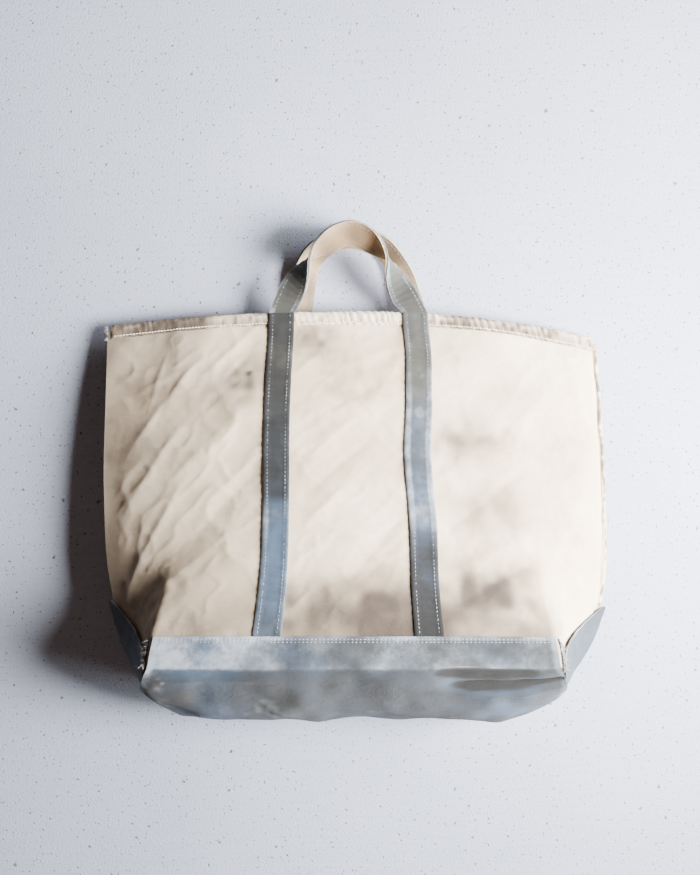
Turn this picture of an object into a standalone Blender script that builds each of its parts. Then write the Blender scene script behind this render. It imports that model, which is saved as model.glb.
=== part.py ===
"""A canvas tote bag lying on its back, in metres, +Z up, +Y towards the handles.

The bag is cut as two flat walls sewn together at the sides. Its two bottom corners are boxed: each
is folded up outside the bag as a corner ear and tacked at the side seam. A band of coloured canvas
covers the base and the foot of every wall, and two straps on each wall run on into a handle.

Every piece is one layer of cloth. It is drawn as the sheet of its inner face, then thickened
outwards, so pieces that lie on each other differ only in how far they stand off the wall.
"""

from math import cos, pi, sin

import bpy
from mathutils import Vector

# Cut sizes of the bag
TOP_WIDTH = 0.565  # wall width between the side seams, sewn flat
BASE_WIDTH = 0.400
CANVAS = 0.0012
HEM_THICKNESS = 0.0024
BAND_REACH = 0.080  # share of the wall's height that the band covers
HEM_REACH = 0.960  # share of the wall's height where the hem begins
STRAP_WIDTH = 0.028
STRAP_SPACING = 0.154
STRAP_SHIFT = -0.004  # the pair of straps sits a little left of the middle

# How the bag lies: the middle of each wall at its foot and at its hem
FRONT_FOOT = Vector((0, -0.188, 0.136))
FRONT_HEM = Vector((0, 0.172, 0.027))
BACK_FOOT = Vector((0, -0.240, 0.003))
BACK_HEM = Vector((0, 0.140, 0.003))
BASE_BULGE = (Vector((0, -0.262, 0.100)), Vector((0, -0.284, 0.030)))
BASE_SIDE_BULGE = 0.012
SEAM_LINES = {  # each side seam from the base to the hem
    -1: [(-0.212, -0.232, 0.068), (-0.259, -0.130, 0.052), (-0.275, -0.020, 0.037),
         (-0.277, 0.075, 0.022), (-0.2775, 0.158, 0.008)],
    1: [(0.212, -0.232, 0.068), (0.267, -0.145, 0.052), (0.280, -0.026, 0.037),
        (0.279, 0.060, 0.022), (0.275, 0.145, 0.008)],
}
FOLD = BASE_WIDTH / TOP_WIDTH  # share of the half width that is the wall's own face at the foot
BOXED_REACH = 0.45  # share of the height over which the boxed foot turns into a flat mouth
CROWN = 2.2  # how roundly each wall curves towards the seams
FLAT_BACK = 0.45  # share of the back wall's half width that lies flat on the floor

# How far each layer's inner face stands off the inner face of its wall
OVER_CANVAS = 0.0015
OVER_CANVAS_LOOSE = 0.0018
OVER_HEM = 0.0030
SIDE_BAND_OFF = 0.0030
EAR_OFF = 0.0052
EAR_REACH = 0.25
LINING_OFF = 0.0016

# Handles: the route of each one's middle line, between its two straps
FRONT_HANDLE_ROUTE = [(-0.059, 0.207, 0.042), (-0.037, 0.237, 0.049), (-0.002, 0.2535, 0.051),
                      (0.032, 0.230, 0.050), (0.046, 0.202, 0.043)]
BACK_HANDLE_ROUTE = [(-0.060, 0.180, 0.007), (-0.055, 0.212, 0.010), (-0.044, 0.238, 0.012),
                     (-0.022, 0.254, 0.013), (0.006, 0.257, 0.013), (0.032, 0.247, 0.013),
                     (0.050, 0.222, 0.012), (0.060, 0.197, 0.010), (0.067, 0.173, 0.007)]
FRONT_HANDLE_TWIST = 140.0  # degrees that the front handle turns over by at its top
BACK_HANDLE_TWIST = -50.0  # the back handle leans on its inner edge
HANDLE_SKEW_REACH = 0.14  # share of the handle whose cut end still turns square to its own line
HANDLE_GAP = 0.0018
HANDLE_STATIONS = 48

# The middle of the finished bag's floor outline, which becomes the origin
CENTRE = Vector((0.00147, 0.0011, 0))

COLOURS = {  # base colour and roughness
    "natural_canvas": ((0.80, 0.74, 0.65), 0.9),
    "worn_blue_canvas": ((0.28, 0.33, 0.37), 0.85),
    "handle_lining_canvas": ((0.62, 0.50, 0.34), 0.85),
}


def clear_scene():
    for item in list(bpy.data.objects):
        bpy.data.objects.remove(item, do_unlink=True)


def make_materials():
    made = {}
    for name, (colour, roughness) in COLOURS.items():
        material = bpy.data.materials.new(name)
        material.use_nodes = True
        shader = material.node_tree.nodes["Principled BSDF"]
        shader.inputs["Base Color"].default_value = (*colour, 1)
        shader.inputs["Roughness"].default_value = roughness
        made[name] = material
    return made


def steps(start, end, count):
    return [start + (end - start) * i / count for i in range(count + 1)]


def smooth(t):
    t = min(1.0, max(0.0, t))
    return t * t * (3 - 2 * t)


def through(points, t):
    """The point at share t of the length of a smooth curve through the given points."""
    points = [Vector(p) for p in points]
    last = len(points) - 1
    marks = [0.0]
    for i in range(last):
        marks.append(marks[-1] + (points[i + 1] - points[i]).length)
    at = t * marks[-1]
    i = max(k for k in range(last) if marks[k] <= at or k == 0)

    def slope(k):
        before = (points[max(1, k)] - points[max(1, k) - 1], marks[max(1, k)] - marks[max(1, k) - 1])
        after = (points[min(last, k + 1)] - points[min(last - 1, k)],
                 marks[min(last, k + 1)] - marks[min(last - 1, k)])
        return (before[0] / before[1] * after[1] + after[0] / after[1] * before[1]) / (before[1] + after[1])

    span = marks[i + 1] - marks[i]
    u = (at - marks[i]) / span
    return (points[i] * (1 + 2 * u) * (1 - u) ** 2 + slope(i) * span * u * (1 - u) ** 2
            + points[i + 1] * u * u * (3 - 2 * u) + slope(i + 1) * span * u * u * (u - 1))


def wall_point(foot, hem, flat, across, up):
    """A point of a wall's inner face. across runs from -1 to 1, seam to seam; up from 0, the foot, to 1."""
    side = 1 if across >= 0 else -1
    share = abs(across)
    middle = foot.lerp(hem, up)
    seam = through(SEAM_LINES[side], up)
    fall = (max(0, share - flat) / (1 - flat)) ** CROWN
    domed = Vector((seam.x * share, middle.y + (seam.y - middle.y) * fall,
                    middle.z + (seam.z - middle.z) * fall))
    corner = middle + Vector((side * BASE_WIDTH / 2, 0, 0))
    if share <= FOLD:
        boxed = middle.lerp(corner, share / FOLD)
    else:
        boxed = corner.lerp(seam, (share - FOLD) / (1 - FOLD))
    return boxed.lerp(domed, smooth(up / BOXED_REACH))


def front_point(across, up):
    return wall_point(FRONT_FOOT, FRONT_HEM, 0, across, up)


def back_point(across, up):
    return wall_point(BACK_FOOT, BACK_HEM, FLAT_BACK, across, up)


def base_point(across, down):
    """A point of the base's inner face. down runs from 0, the front wall's foot, to 1, the back wall's."""
    a, d = FRONT_FOOT, BACK_FOOT
    b, c = BASE_BULGE
    rest = 1 - down
    bulged = a * rest ** 3 + b * 3 * rest ** 2 * down + c * 3 * rest * down ** 2 + d * down ** 3
    flat = a.lerp(d, down)
    point = bulged.lerp(flat, 0.6 * abs(across) ** 6)
    half = BASE_WIDTH / 2 + BASE_SIDE_BULGE * 4 * down * rest
    return Vector((across * half, point.y, point.z))


def standing_off(surface, outward, across, up, off):
    """The surface's point moved off it by a distance, on the side that outward points to."""
    step = 0.01
    along = surface(min(1, across + step), up) - surface(max(-1, across - step), up)
    upward = surface(across, min(1, up + step)) - surface(across, max(0, up - step))
    normal = along.cross(upward).normalized()
    if normal.dot(outward) < 0:
        normal = -normal
    return surface(across, up) + normal * off


def cloth(name, rows, thickness, material, flip=False):
    """One layer of cloth: a sheet through rows of points, thickened to the side that its faces point to."""
    width = len(rows[0])
    points = [point - CENTRE for row in rows for point in row]
    faces = []
    for i in range(len(rows) - 1):
        for j in range(width - 1):
            corner = i * width + j
            face = (corner, corner + 1, corner + width + 1, corner + width)
            faces.append(face[::-1] if flip else face)
    mesh = bpy.data.meshes.new(name)
    mesh.from_pydata(points, [], faces)
    mesh.materials.append(material)
    piece = bpy.data.objects.new(name, mesh)
    bpy.context.scene.collection.objects.link(piece)
    thicken = piece.modifiers.new("canvas", "SOLIDIFY")
    thicken.thickness = thickness
    thicken.offset = 1
    return piece


def front_cloth(name, sides, heights, off, thickness, material):
    rows = [[standing_off(front_point, Vector((0, 0, 1)), s, v, off) for s in sides] for v in heights]
    return cloth(name, rows, thickness, material)


def back_cloth(name, sides, heights, off, thickness, material):
    rows = [[standing_off(back_point, Vector((0, 0, -1)), s, v, off) for s in sides] for v in heights]
    return cloth(name, rows, thickness, material, flip=True)


def make_walls(canvas):
    """The front and back panels, with the part of each that turns round to the side as its own piece."""
    face = steps(-0.705, 0.705, 16)
    heights = steps(0.006, 0.957, 14)
    front_cloth("front_panel", face, heights, 0, CANVAS, canvas)
    back_cloth("back_panel", face, heights, 0, CANVAS, canvas)
    for word, side in (("left", -1), ("right", 1)):
        turned = sorted(side * s for s in steps(0.715, 0.985, 5))
        front_cloth(f"{word}_side_front", turned, heights, 0, CANVAS, canvas)
        back_cloth(f"{word}_side_back", turned, heights, 0, CANVAS, canvas)


def make_hems(canvas):
    heights = steps(HEM_REACH, 1.0, 2)
    front_cloth("front_hem", steps(-0.98, 0.98, 24), heights, 0, HEM_THICKNESS, canvas)
    back_cloth("back_hem", steps(-0.95, 0.95, 24), heights, -CANVAS, HEM_THICKNESS, canvas)


def make_side_seams(canvas):
    """The seam allowance that stands along each side, from the band up to the hem."""
    for word, side in (("left", -1), ("right", 1)):
        rows = []
        for up in steps(0.10, 0.952, 12):
            seam = through(SEAM_LINES[side], up)
            rows.append([seam + Vector((side * out, 0, -0.0012)) for out in (-0.0020, 0.0026)])
        cloth(f"{word}_side_seam", rows, HEM_THICKNESS, canvas, flip=side < 0)


def make_base(canvas, coloured):
    """The base is two layers: the body's own canvas inside and the band outside."""
    for name, off, material in (("base_lining", 0, canvas), ("base_panel", OVER_CANVAS, coloured)):
        rows = []
        for down in steps(0.012, 0.988, 12):
            rows.append([standing_off(base_point, Vector((0, -1, 0.2)), s, down, off)
                         for s in steps(-0.995, 0.995, 16)])
        cloth(name, rows, CANVAS, material, flip=True)


def make_band(coloured):
    """The band's walls: front, back and the two sides under the corner ears."""
    face = steps(-0.700, 0.700, 16)
    heights = steps(0.008, BAND_REACH, 2)
    front_cloth("front_band", face, heights, OVER_CANVAS, CANVAS, coloured)
    back_cloth("back_band", face, heights, OVER_CANVAS, CANVAS, coloured)
    for word, side in (("left", -1), ("right", 1)):
        rows = []
        for up in heights:
            rows.append([side_point(side, q, up, SIDE_BAND_OFF) for q in steps(-0.86, 0.86, 8)])
        cloth(f"{word}_side_band", rows, CANVAS, coloured, flip=side > 0)


def side_point(side, turn, up, off):
    """A point of a side face. turn runs from -1, where it meets the back, to 1, where it meets the front."""
    wall = front_point if turn >= 0 else back_point
    outward = Vector((side, 0, 0.9 * turn * up / EAR_REACH)).normalized()
    return wall(side * (1 - abs(turn) * (1 - FOLD)), up) + outward * off


def make_corner_ears(coloured):
    """Each boxed corner, a triangle of doubled band folded up the side and tacked at the seam."""
    for word, side in (("left", -1), ("right", 1)):
        rows = []
        for up in steps(0.012, EAR_REACH, 8):
            reach = 0.94 * (1 - 0.93 * up / EAR_REACH)
            rows.append([side_point(side, reach * q, up, EAR_OFF) for q in steps(-1, 1, 8)])
        cloth(f"{word}_corner_ear", rows, HEM_THICKNESS, coloured, flip=side > 0)


def strap_middle(side):
    """Where a strap's middle lies across the wall, as a share of the half width."""
    return (STRAP_SHIFT + side * STRAP_SPACING / 2) / (TOP_WIDTH / 2)


def strap_off(up, over_hem):
    """A strap lies on the wall and, on the front, steps up onto the hem."""
    step = smooth((up - 0.925) / 0.025)
    return OVER_CANVAS_LOOSE + (over_hem - OVER_CANVAS_LOOSE) * step


def make_straps(coloured):
    half = STRAP_WIDTH / TOP_WIDTH
    heights = steps(BAND_REACH + 0.004, 0.925, 12) + steps(0.950, 1.0, 2)
    walls = (("front", front_point, Vector((0, 0, 1)), OVER_HEM, False),
             ("back", back_point, Vector((0, 0, -1)), OVER_CANVAS_LOOSE, True))
    for wall, surface, outward, over_hem, flip in walls:
        for word, side in (("left", -1), ("right", 1)):
            middle = strap_middle(side)
            rows = []
            for up in heights:
                off = strap_off(up, over_hem)
                rows.append([standing_off(surface, outward, s, up, off)
                             for s in steps(middle - half, middle + half, 2)])
            cloth(f"{wall}_strap_{word}", rows, CANVAS, coloured, flip)


def handle_route(surface, outward, over_hem, route):
    """A handle's middle line: from one strap's end, through the route, to the other strap's end."""
    ends = []
    for side in (-1, 1):
        end = standing_off(surface, outward, strap_middle(side), 1.0, over_hem)
        ends.append(end + Vector((0, HANDLE_GAP, 0)))
    return [ends[0], *route, ends[1]]


def make_handle(name, route, outward, twist, coloured, lining):
    """A handle's strap and its lining: a ribbon along the route that turns over towards its top."""
    lines = {name: [], f"{name}_lining": []}
    for t in steps(0, 1, HANDLE_STATIONS):
        here = through(route, t)
        along = (through(route, min(1, t + 0.004)) - through(route, max(0, t - 0.004))).normalized()
        flat = (outward - along * outward.dot(along)).normalized()
        lift = smooth(min(t, 1 - t) / 0.46)
        turn = -twist * lift * pi / 180
        across = along.cross(flat * cos(turn) + along.cross(flat) * sin(turn))
        hem_line = Vector((1 if across.x > 0 else -1, 0, 0))
        across = hem_line.lerp(across, smooth(min(t, 1 - t) / HANDLE_SKEW_REACH)).normalized()
        normal = across.cross(along).normalized()
        for piece, off in ((name, 0.0), (f"{name}_lining", -LINING_OFF)):
            middle = here + normal * off
            lines[piece].append([middle - across * STRAP_WIDTH / 2, middle,
                                 middle + across * STRAP_WIDTH / 2])
    cloth(name, lines[name], CANVAS, coloured, flip=False)
    cloth(f"{name}_lining", lines[f"{name}_lining"], CANVAS, lining, flip=False)


def make_handles(coloured, lining):
    up, down = Vector((0, 0, 1)), Vector((0, 0, -1))
    front = handle_route(front_point, up, OVER_HEM, FRONT_HANDLE_ROUTE)
    back = handle_route(back_point, down, OVER_CANVAS_LOOSE, BACK_HANDLE_ROUTE)
    make_handle("front_handle", front, up, FRONT_HANDLE_TWIST, coloured, lining)
    make_handle("back_handle", back, down, BACK_HANDLE_TWIST, coloured, lining)


def main():
    clear_scene()
    made = make_materials()
    canvas, coloured = made["natural_canvas"], made["worn_blue_canvas"]
    make_walls(canvas)
    make_hems(canvas)
    make_side_seams(canvas)
    make_base(canvas, coloured)
    make_band(coloured)
    make_corner_ears(coloured)
    make_straps(coloured)
    make_handles(coloured, made["handle_lining_canvas"])


main()
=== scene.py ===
"""A worn canvas tote bag lying on its back: its cloth, seams, stitching and finishes, round the frame."""

import logging
import math
from dataclasses import dataclass, field
from enum import Enum
from typing import Callable

import bpy
import numpy as np
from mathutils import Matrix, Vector


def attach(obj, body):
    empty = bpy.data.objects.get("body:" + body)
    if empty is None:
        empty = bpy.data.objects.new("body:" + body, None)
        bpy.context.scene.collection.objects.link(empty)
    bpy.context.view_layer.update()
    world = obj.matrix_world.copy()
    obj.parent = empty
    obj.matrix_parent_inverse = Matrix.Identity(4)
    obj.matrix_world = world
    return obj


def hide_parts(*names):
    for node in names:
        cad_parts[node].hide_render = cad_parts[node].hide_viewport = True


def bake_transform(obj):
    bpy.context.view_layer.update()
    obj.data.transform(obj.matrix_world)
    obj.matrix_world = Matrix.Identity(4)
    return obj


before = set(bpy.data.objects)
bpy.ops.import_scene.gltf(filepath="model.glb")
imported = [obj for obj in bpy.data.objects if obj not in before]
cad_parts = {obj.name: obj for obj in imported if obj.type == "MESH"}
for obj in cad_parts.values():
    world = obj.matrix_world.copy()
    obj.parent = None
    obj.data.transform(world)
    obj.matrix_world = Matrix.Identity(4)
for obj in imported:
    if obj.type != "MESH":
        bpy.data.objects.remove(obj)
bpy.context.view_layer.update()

log = logging.getLogger("tote")

Array = np.ndarray


class Wall(Enum):
    """The two walls of the bag."""

    FRONT = "front"
    BACK = "back"


class Side(Enum):
    """The two sides of the bag, as the sign of X."""

    LEFT = -1
    RIGHT = 1

    @property
    def word(self) -> str:
        """The side's name in piece names."""
        return self.name.lower()


# ---------------------------------------------------------------- small maths


def smooth(t: Array | float) -> Array:
    """Eased step from 0 to 1 as t goes from 0 to 1."""
    t = np.clip(t, 0.0, 1.0)
    return t * t * (3 - 2 * t)


def unit(v: Array) -> Array:
    """The vectors of an (..., 3) array at length 1."""
    return v / np.maximum(np.linalg.norm(v, axis=-1, keepdims=True), 1e-12)


def through(points: list, t: Array) -> Array:
    """Points at shares t of the length of a smooth curve.

    Args:
        points: the points that the curve passes through.
        t: shares of its length, from 0 to 1.

    Returns:
        One point for each share, as an array with a last axis of 3.
    """
    p = np.array(points, float)
    spans = np.linalg.norm(np.diff(p, axis=0), axis=1)
    marks = np.concatenate([[0], np.cumsum(spans)])
    slopes = np.diff(p, axis=0) / spans[:, None]
    before = np.vstack([slopes[:1], slopes])
    after = np.vstack([slopes, slopes[-1:]])
    long_before = np.concatenate([spans[:1], spans])[:, None]
    long_after = np.concatenate([spans, spans[-1:]])[:, None]
    tangents = (before * long_after + after * long_before) / (long_before + long_after)
    at = np.asarray(t, float) * marks[-1]
    i = np.clip(np.searchsorted(marks, at, side="right") - 1, 0, len(spans) - 1)
    span = spans[i][..., None]
    u = ((at - marks[i]) / spans[i])[..., None]
    return (p[i] * (1 + 2 * u) * (1 - u) ** 2 + tangents[i] * span * u * (1 - u) ** 2
            + p[i + 1] * u * u * (3 - 2 * u) + tangents[i + 1] * span * u * u * (u - 1))


def eased(t: Array, marks: tuple, values: tuple) -> Array:
    """Values that ease from one mark to the next."""
    t = np.asarray(t, float)
    i = np.clip(np.searchsorted(marks, t, side="right") - 1, 0, len(marks) - 2)
    marks, values = np.array(marks), np.array(values)
    return values[i] + (values[i + 1] - values[i]) * smooth((t - marks[i]) / (marks[i + 1] - marks[i]))


def crumple(x: Array, y: Array, cell: float, seed: int) -> Array:
    """Sharp crests between smooth hollows, from 0 to 1, like stiff cloth that has been crushed."""
    bend = 0.35 * cell * speckle(x, y, cell * 1.7, seed + 50)
    return (1 - np.abs(speckle(x + bend, y - bend, cell, seed))) ** 3


def speckle(x: Array, y: Array, cell: float, seed: int) -> Array:
    """Smooth random values from -1 to 1 over a plane, one lattice value per cell."""
    lattice = np.random.default_rng(seed).uniform(-1, 1, (128, 128))
    gx, gy = x / cell + 40.0, y / cell + 40.0
    ix, iy = np.floor(gx).astype(int), np.floor(gy).astype(int)
    fx, fy = smooth(gx - ix), smooth(gy - iy)
    a, b = lattice[iy % 128, ix % 128], lattice[iy % 128, (ix + 1) % 128]
    c, d = lattice[(iy + 1) % 128, ix % 128], lattice[(iy + 1) % 128, (ix + 1) % 128]
    return (a * (1 - fx) + b * fx) * (1 - fy) + (c * (1 - fx) + d * fx) * fy


# ---------------------------------------------------------------- the bag's shape


@dataclass(frozen=True)
class Crease:
    """One soft fold in a flat cloth, as a ridge or, with a negative height, a valley."""

    start: tuple[float, float]
    end: tuple[float, float]
    width: float
    height: float

    def rise(self, x: Array, y: Array) -> Array:
        """How far the fold lifts the cloth at each flat point."""
        (ax, ay), (bx, by) = self.start, self.end
        dx, dy = bx - ax, by - ay
        long2 = dx * dx + dy * dy
        t = ((x - ax) * dx + (y - ay) * dy) / long2
        off = ((x - ax) * dy - (y - ay) * dx) / math.sqrt(long2)
        taper = smooth((t + 0.15) / 0.45) * smooth((1.15 - t) / 0.45)
        sharp = np.exp(-np.abs(off / self.width) ** 1.2)
        return self.height * sharp * taper


@dataclass(frozen=True)
class Spot:
    """A soft-edged round mark on a flat cloth, of dirt or of wear."""

    middle: tuple[float, float]
    size: float
    depth: float

    def shade(self, x: Array, y: Array, tall: float) -> Array:
        """How strongly it marks each flat point. tall is its height as a share of its width."""
        across, up = (x - self.middle[0]) / self.size, (y - self.middle[1]) / (tall * self.size)
        return self.depth * np.exp(-(across ** 2 + up ** 2))


@dataclass(frozen=True)
class Lens:
    """A long, sharp-edged mark of painted shade along a pleat, where the cloth turns away from the light."""

    middle: tuple[float, float]
    half: tuple[float, float]
    depth: float

    def shade(self, x: Array, y: Array) -> Array:
        """How strongly it marks each flat point."""
        spread = ((x - self.middle[0]) / self.half[0]) ** 2 + ((y - self.middle[1]) / self.half[1]) ** 2
        return self.depth * smooth((1.25 - spread) / 0.7)


@dataclass(frozen=True)
class BagShape:
    """The lying bag's inner faces, in metres.

    across runs from -1, the left seam, to 1, the right one, and up from 0, a wall's foot, to 1, its hem.
    """

    top_width: float = 0.565
    base_width: float = 0.400
    wall_height: float = 0.380
    canvas: float = 0.0012
    strap_width: float = 0.028
    strap_spacing: float = 0.154
    strap_shift: float = -0.004
    band_reach: float = 0.080
    hem_reach: float = 0.960
    boxed_reach: float = 0.45
    crown: float = 2.2
    flat_back: float = 0.45
    side_bulge: float = 0.012
    ear_reach: float = 0.25
    centre: tuple = (0.00147, 0.0011, 0.0)
    front_foot: tuple = (0, -0.188, 0.136)
    front_hem: tuple = (0, 0.172, 0.027)
    back_foot: tuple = (0, -0.240, 0.003)
    back_hem: tuple = (0, 0.140, 0.003)
    bulge: tuple = ((0, -0.262, 0.100), (0, -0.284, 0.030))
    seams: dict = field(default_factory=lambda: {
        Side.LEFT: [(-0.212, -0.232, 0.068), (-0.2555, -0.130, 0.056), (-0.2675, -0.020, 0.046),
                    (-0.2690, 0.075, 0.035), (-0.2715, 0.158, 0.018)],
        Side.RIGHT: [(0.212, -0.232, 0.068), (0.262, -0.145, 0.052), (0.2730, -0.026, 0.037),
                     (0.2730, 0.060, 0.022), (0.2715, 0.145, 0.008)],
    })

    @property
    def fold(self) -> float:
        """Share of the half width that is the wall's own face at the foot."""
        return self.base_width / self.top_width

    def seam(self, side: Side, up: Array) -> Array:
        """Points along a side seam."""
        return through(self.seams[side], np.clip(up, 0, 1)) - np.array(self.centre)

    def wall(self, wall: Wall, across: Array, up: Array) -> Array:
        """Points of a wall's inner face.

        Args:
            wall: which wall.
            across: from -1, the left seam, to 1, the right seam.
            up: from 0, the foot, to 1, the hem's edge.

        Returns:
            The points, in the frame.
        """
        across, up = np.broadcast_arrays(np.asarray(across, float), np.asarray(up, float))
        front = wall is Wall.FRONT
        foot = np.array(self.front_foot if front else self.back_foot)
        hem = np.array(self.front_hem if front else self.back_hem)
        flat = 0.0 if front else self.flat_back
        share, sign = np.abs(across), np.where(across >= 0, 1.0, -1.0)
        middle = foot + (hem - foot) * up[..., None] - np.array(self.centre)
        right = (across >= 0)[..., None]
        seam = np.where(right, self.seam(Side.RIGHT, up), self.seam(Side.LEFT, up))
        fall = (np.maximum(0, share - flat) / (1 - flat)) ** self.crown
        domed = middle + (seam - middle) * fall[..., None]
        domed[..., 0] = (seam[..., 0] + self.centre[0]) * share - self.centre[0]
        corner = middle.copy()
        corner[..., 0] += sign * self.base_width / 2
        inner = np.clip(share / self.fold, 0, 1)[..., None]
        outer = np.clip((share - self.fold) / (1 - self.fold), 0, 1)[..., None]
        boxed = np.where(share[..., None] <= self.fold, middle + (corner - middle) * inner,
                         corner + (seam - corner) * outer)
        k = smooth(up / self.boxed_reach)[..., None]
        return boxed * (1 - k) + domed * k

    def base(self, across: Array, down: Array) -> Array:
        """Points of the base's inner face. down runs from 0, the front wall's foot, to 1, the back wall's."""
        across, down = np.broadcast_arrays(np.asarray(across, float), np.asarray(down, float))
        a, d = np.array(self.front_foot), np.array(self.back_foot)
        b, c = (np.array(p) for p in self.bulge)
        w, r = down[..., None], 1 - down[..., None]
        bulged = a * r ** 3 + b * 3 * r * r * w + c * 3 * r * w * w + d * w ** 3
        flat = a + (d - a) * w
        k = (0.6 * np.abs(across) ** 6)[..., None]
        point = bulged * (1 - k) + flat * k
        half = self.base_width / 2 + self.side_bulge * 4 * down * (1 - down)
        point[..., 0] = across * half
        return point - np.array(self.centre)

    def strap_middle(self, side: Side) -> float:
        """Where a strap's middle lies across the wall, as a share of the half width."""
        return (self.strap_shift + side.value * self.strap_spacing / 2) / (self.top_width / 2)


FRONT_CREASES = (
    # long soft diagonals on the left third
    Crease((-0.265, 0.085), (-0.185, 0.205), 0.0075, 0.0042),
    Crease((-0.262, 0.170), (-0.190, 0.262), 0.0070, 0.0040),
    Crease((-0.255, 0.235), (-0.175, 0.330), 0.0065, 0.0044),
    Crease((-0.238, 0.060), (-0.150, 0.130), 0.0100, 0.0032),
    Crease((-0.215, 0.105), (-0.110, 0.200), 0.0120, -0.0034),
    Crease((-0.205, 0.200), (-0.105, 0.285), 0.0110, 0.0030),
    Crease((-0.230, 0.282), (-0.213, 0.335), 0.0035, 0.0026),
    Crease((-0.246, 0.300), (-0.196, 0.318), 0.0030, 0.0022),
    Crease((-0.224, 0.262), (-0.200, 0.310), 0.0045, -0.0022),
    Crease((-0.150, 0.300), (-0.108, 0.345), 0.0080, -0.0030),
    # the middle panel, between the straps
    Crease((-0.062, 0.135), (0.010, 0.200), 0.0070, 0.0024),
    Crease((-0.060, 0.168), (0.018, 0.232), 0.0060, -0.0020),
    Crease((-0.058, 0.205), (0.004, 0.262), 0.0060, 0.0022),
    Crease((-0.050, 0.255), (0.040, 0.300), 0.0090, -0.0020),
    Crease((-0.055, 0.072), (0.050, 0.108), 0.0160, -0.0048),
    Crease((0.000, 0.090), (0.062, 0.165), 0.0120, -0.0030),
    Crease((0.005, 0.250), (0.060, 0.335), 0.0100, 0.0022),
    # the right third
    Crease((0.088, 0.128), (0.185, 0.212), 0.0140, -0.0066),
    Crease((0.100, 0.058), (0.190, 0.112), 0.0130, -0.0070),
    Crease((0.104, 0.096), (0.200, 0.150), 0.0100, 0.0040),
    Crease((0.095, 0.228), (0.150, 0.246), 0.0140, -0.0046),
    Crease((0.160, 0.235), (0.235, 0.330), 0.0120, 0.0028),
    Crease((0.200, 0.100), (0.262, 0.220), 0.0110, 0.0026),
    Crease((0.215, 0.050), (0.258, 0.120), 0.0080, -0.0024),
    Crease((0.150, 0.300), (0.250, 0.322), 0.0120, -0.0018),
)

BASE_CREASES = (
    # in metres across the base, and down it from the front edge
    Crease((0.082, 0.002), (0.165, 0.003), 0.0042, -0.0040),
    Crease((0.078, 0.006), (0.205, 0.008), 0.0026, 0.0030),
    Crease((0.086, 0.013), (0.205, 0.016), 0.0062, -0.0078),
    Crease((0.080, 0.022), (0.205, 0.030), 0.0034, 0.0030),
    Crease((-0.190, 0.012), (-0.060, 0.004), 0.0060, 0.0030),
    Crease((-0.195, 0.030), (-0.150, 0.120), 0.0090, 0.0040),
    Crease((-0.080, 0.040), (-0.020, 0.090), 0.0120, 0.0028),
    Crease((0.000, 0.060), (0.080, 0.080), 0.0140, -0.0030),
    Crease((0.120, 0.075), (0.200, 0.110), 0.0110, 0.0036),
    Crease((-0.120, 0.090), (0.060, 0.110), 0.0150, -0.0026),
)

PLEAT_SHADES = (
    # painted shade in the pleat on the right of the base
    Lens((0.128, 0.0035), (0.050, 0.0050), 1.00),
    Lens((0.150, 0.0155), (0.058, 0.0060), 1.00),
)

FRONT_STAINS = (
    # in metres across the front wall, and up it from the foot
    Spot((-0.118, 0.300), 0.030, 0.50),
    Spot((0.115, 0.238), 0.042, 0.42),
    Spot((0.150, 0.165), 0.048, 0.34),
    Spot((0.140, 0.080), 0.044, 0.78),
    Spot((0.020, 0.045), 0.055, 0.80),
    Spot((0.075, 0.062), 0.040, 0.42),
    Spot((-0.045, 0.345), 0.030, 0.50),
    Spot((-0.055, 0.060), 0.045, 0.45),
    Spot((-0.118, 0.311), 0.0035, 0.90),
    Spot((-0.092, 0.205), 0.030, 0.20),
)

BASE_SCUFFS = (
    # in metres across the base, and down it from the front edge
    Spot((-0.082, 0.045), 0.013, 1.10),
    Spot((-0.072, 0.058), 0.010, 0.90),
    Spot((-0.105, 0.050), 0.012, 0.60),
    Spot((0.024, 0.026), 0.008, 0.80),
    Spot((0.032, 0.036), 0.006, 0.70),
    Spot((0.016, 0.052), 0.007, 0.70),
    Spot((0.110, 0.132), 0.022, 0.45),
    Spot((-0.175, 0.050), 0.016, 0.60),
    Spot((0.060, 0.140), 0.014, 0.50),
    Spot((-0.185, 0.020), 0.010, 0.80),
    Spot((0.190, 0.045), 0.012, 0.60),
)


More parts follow.
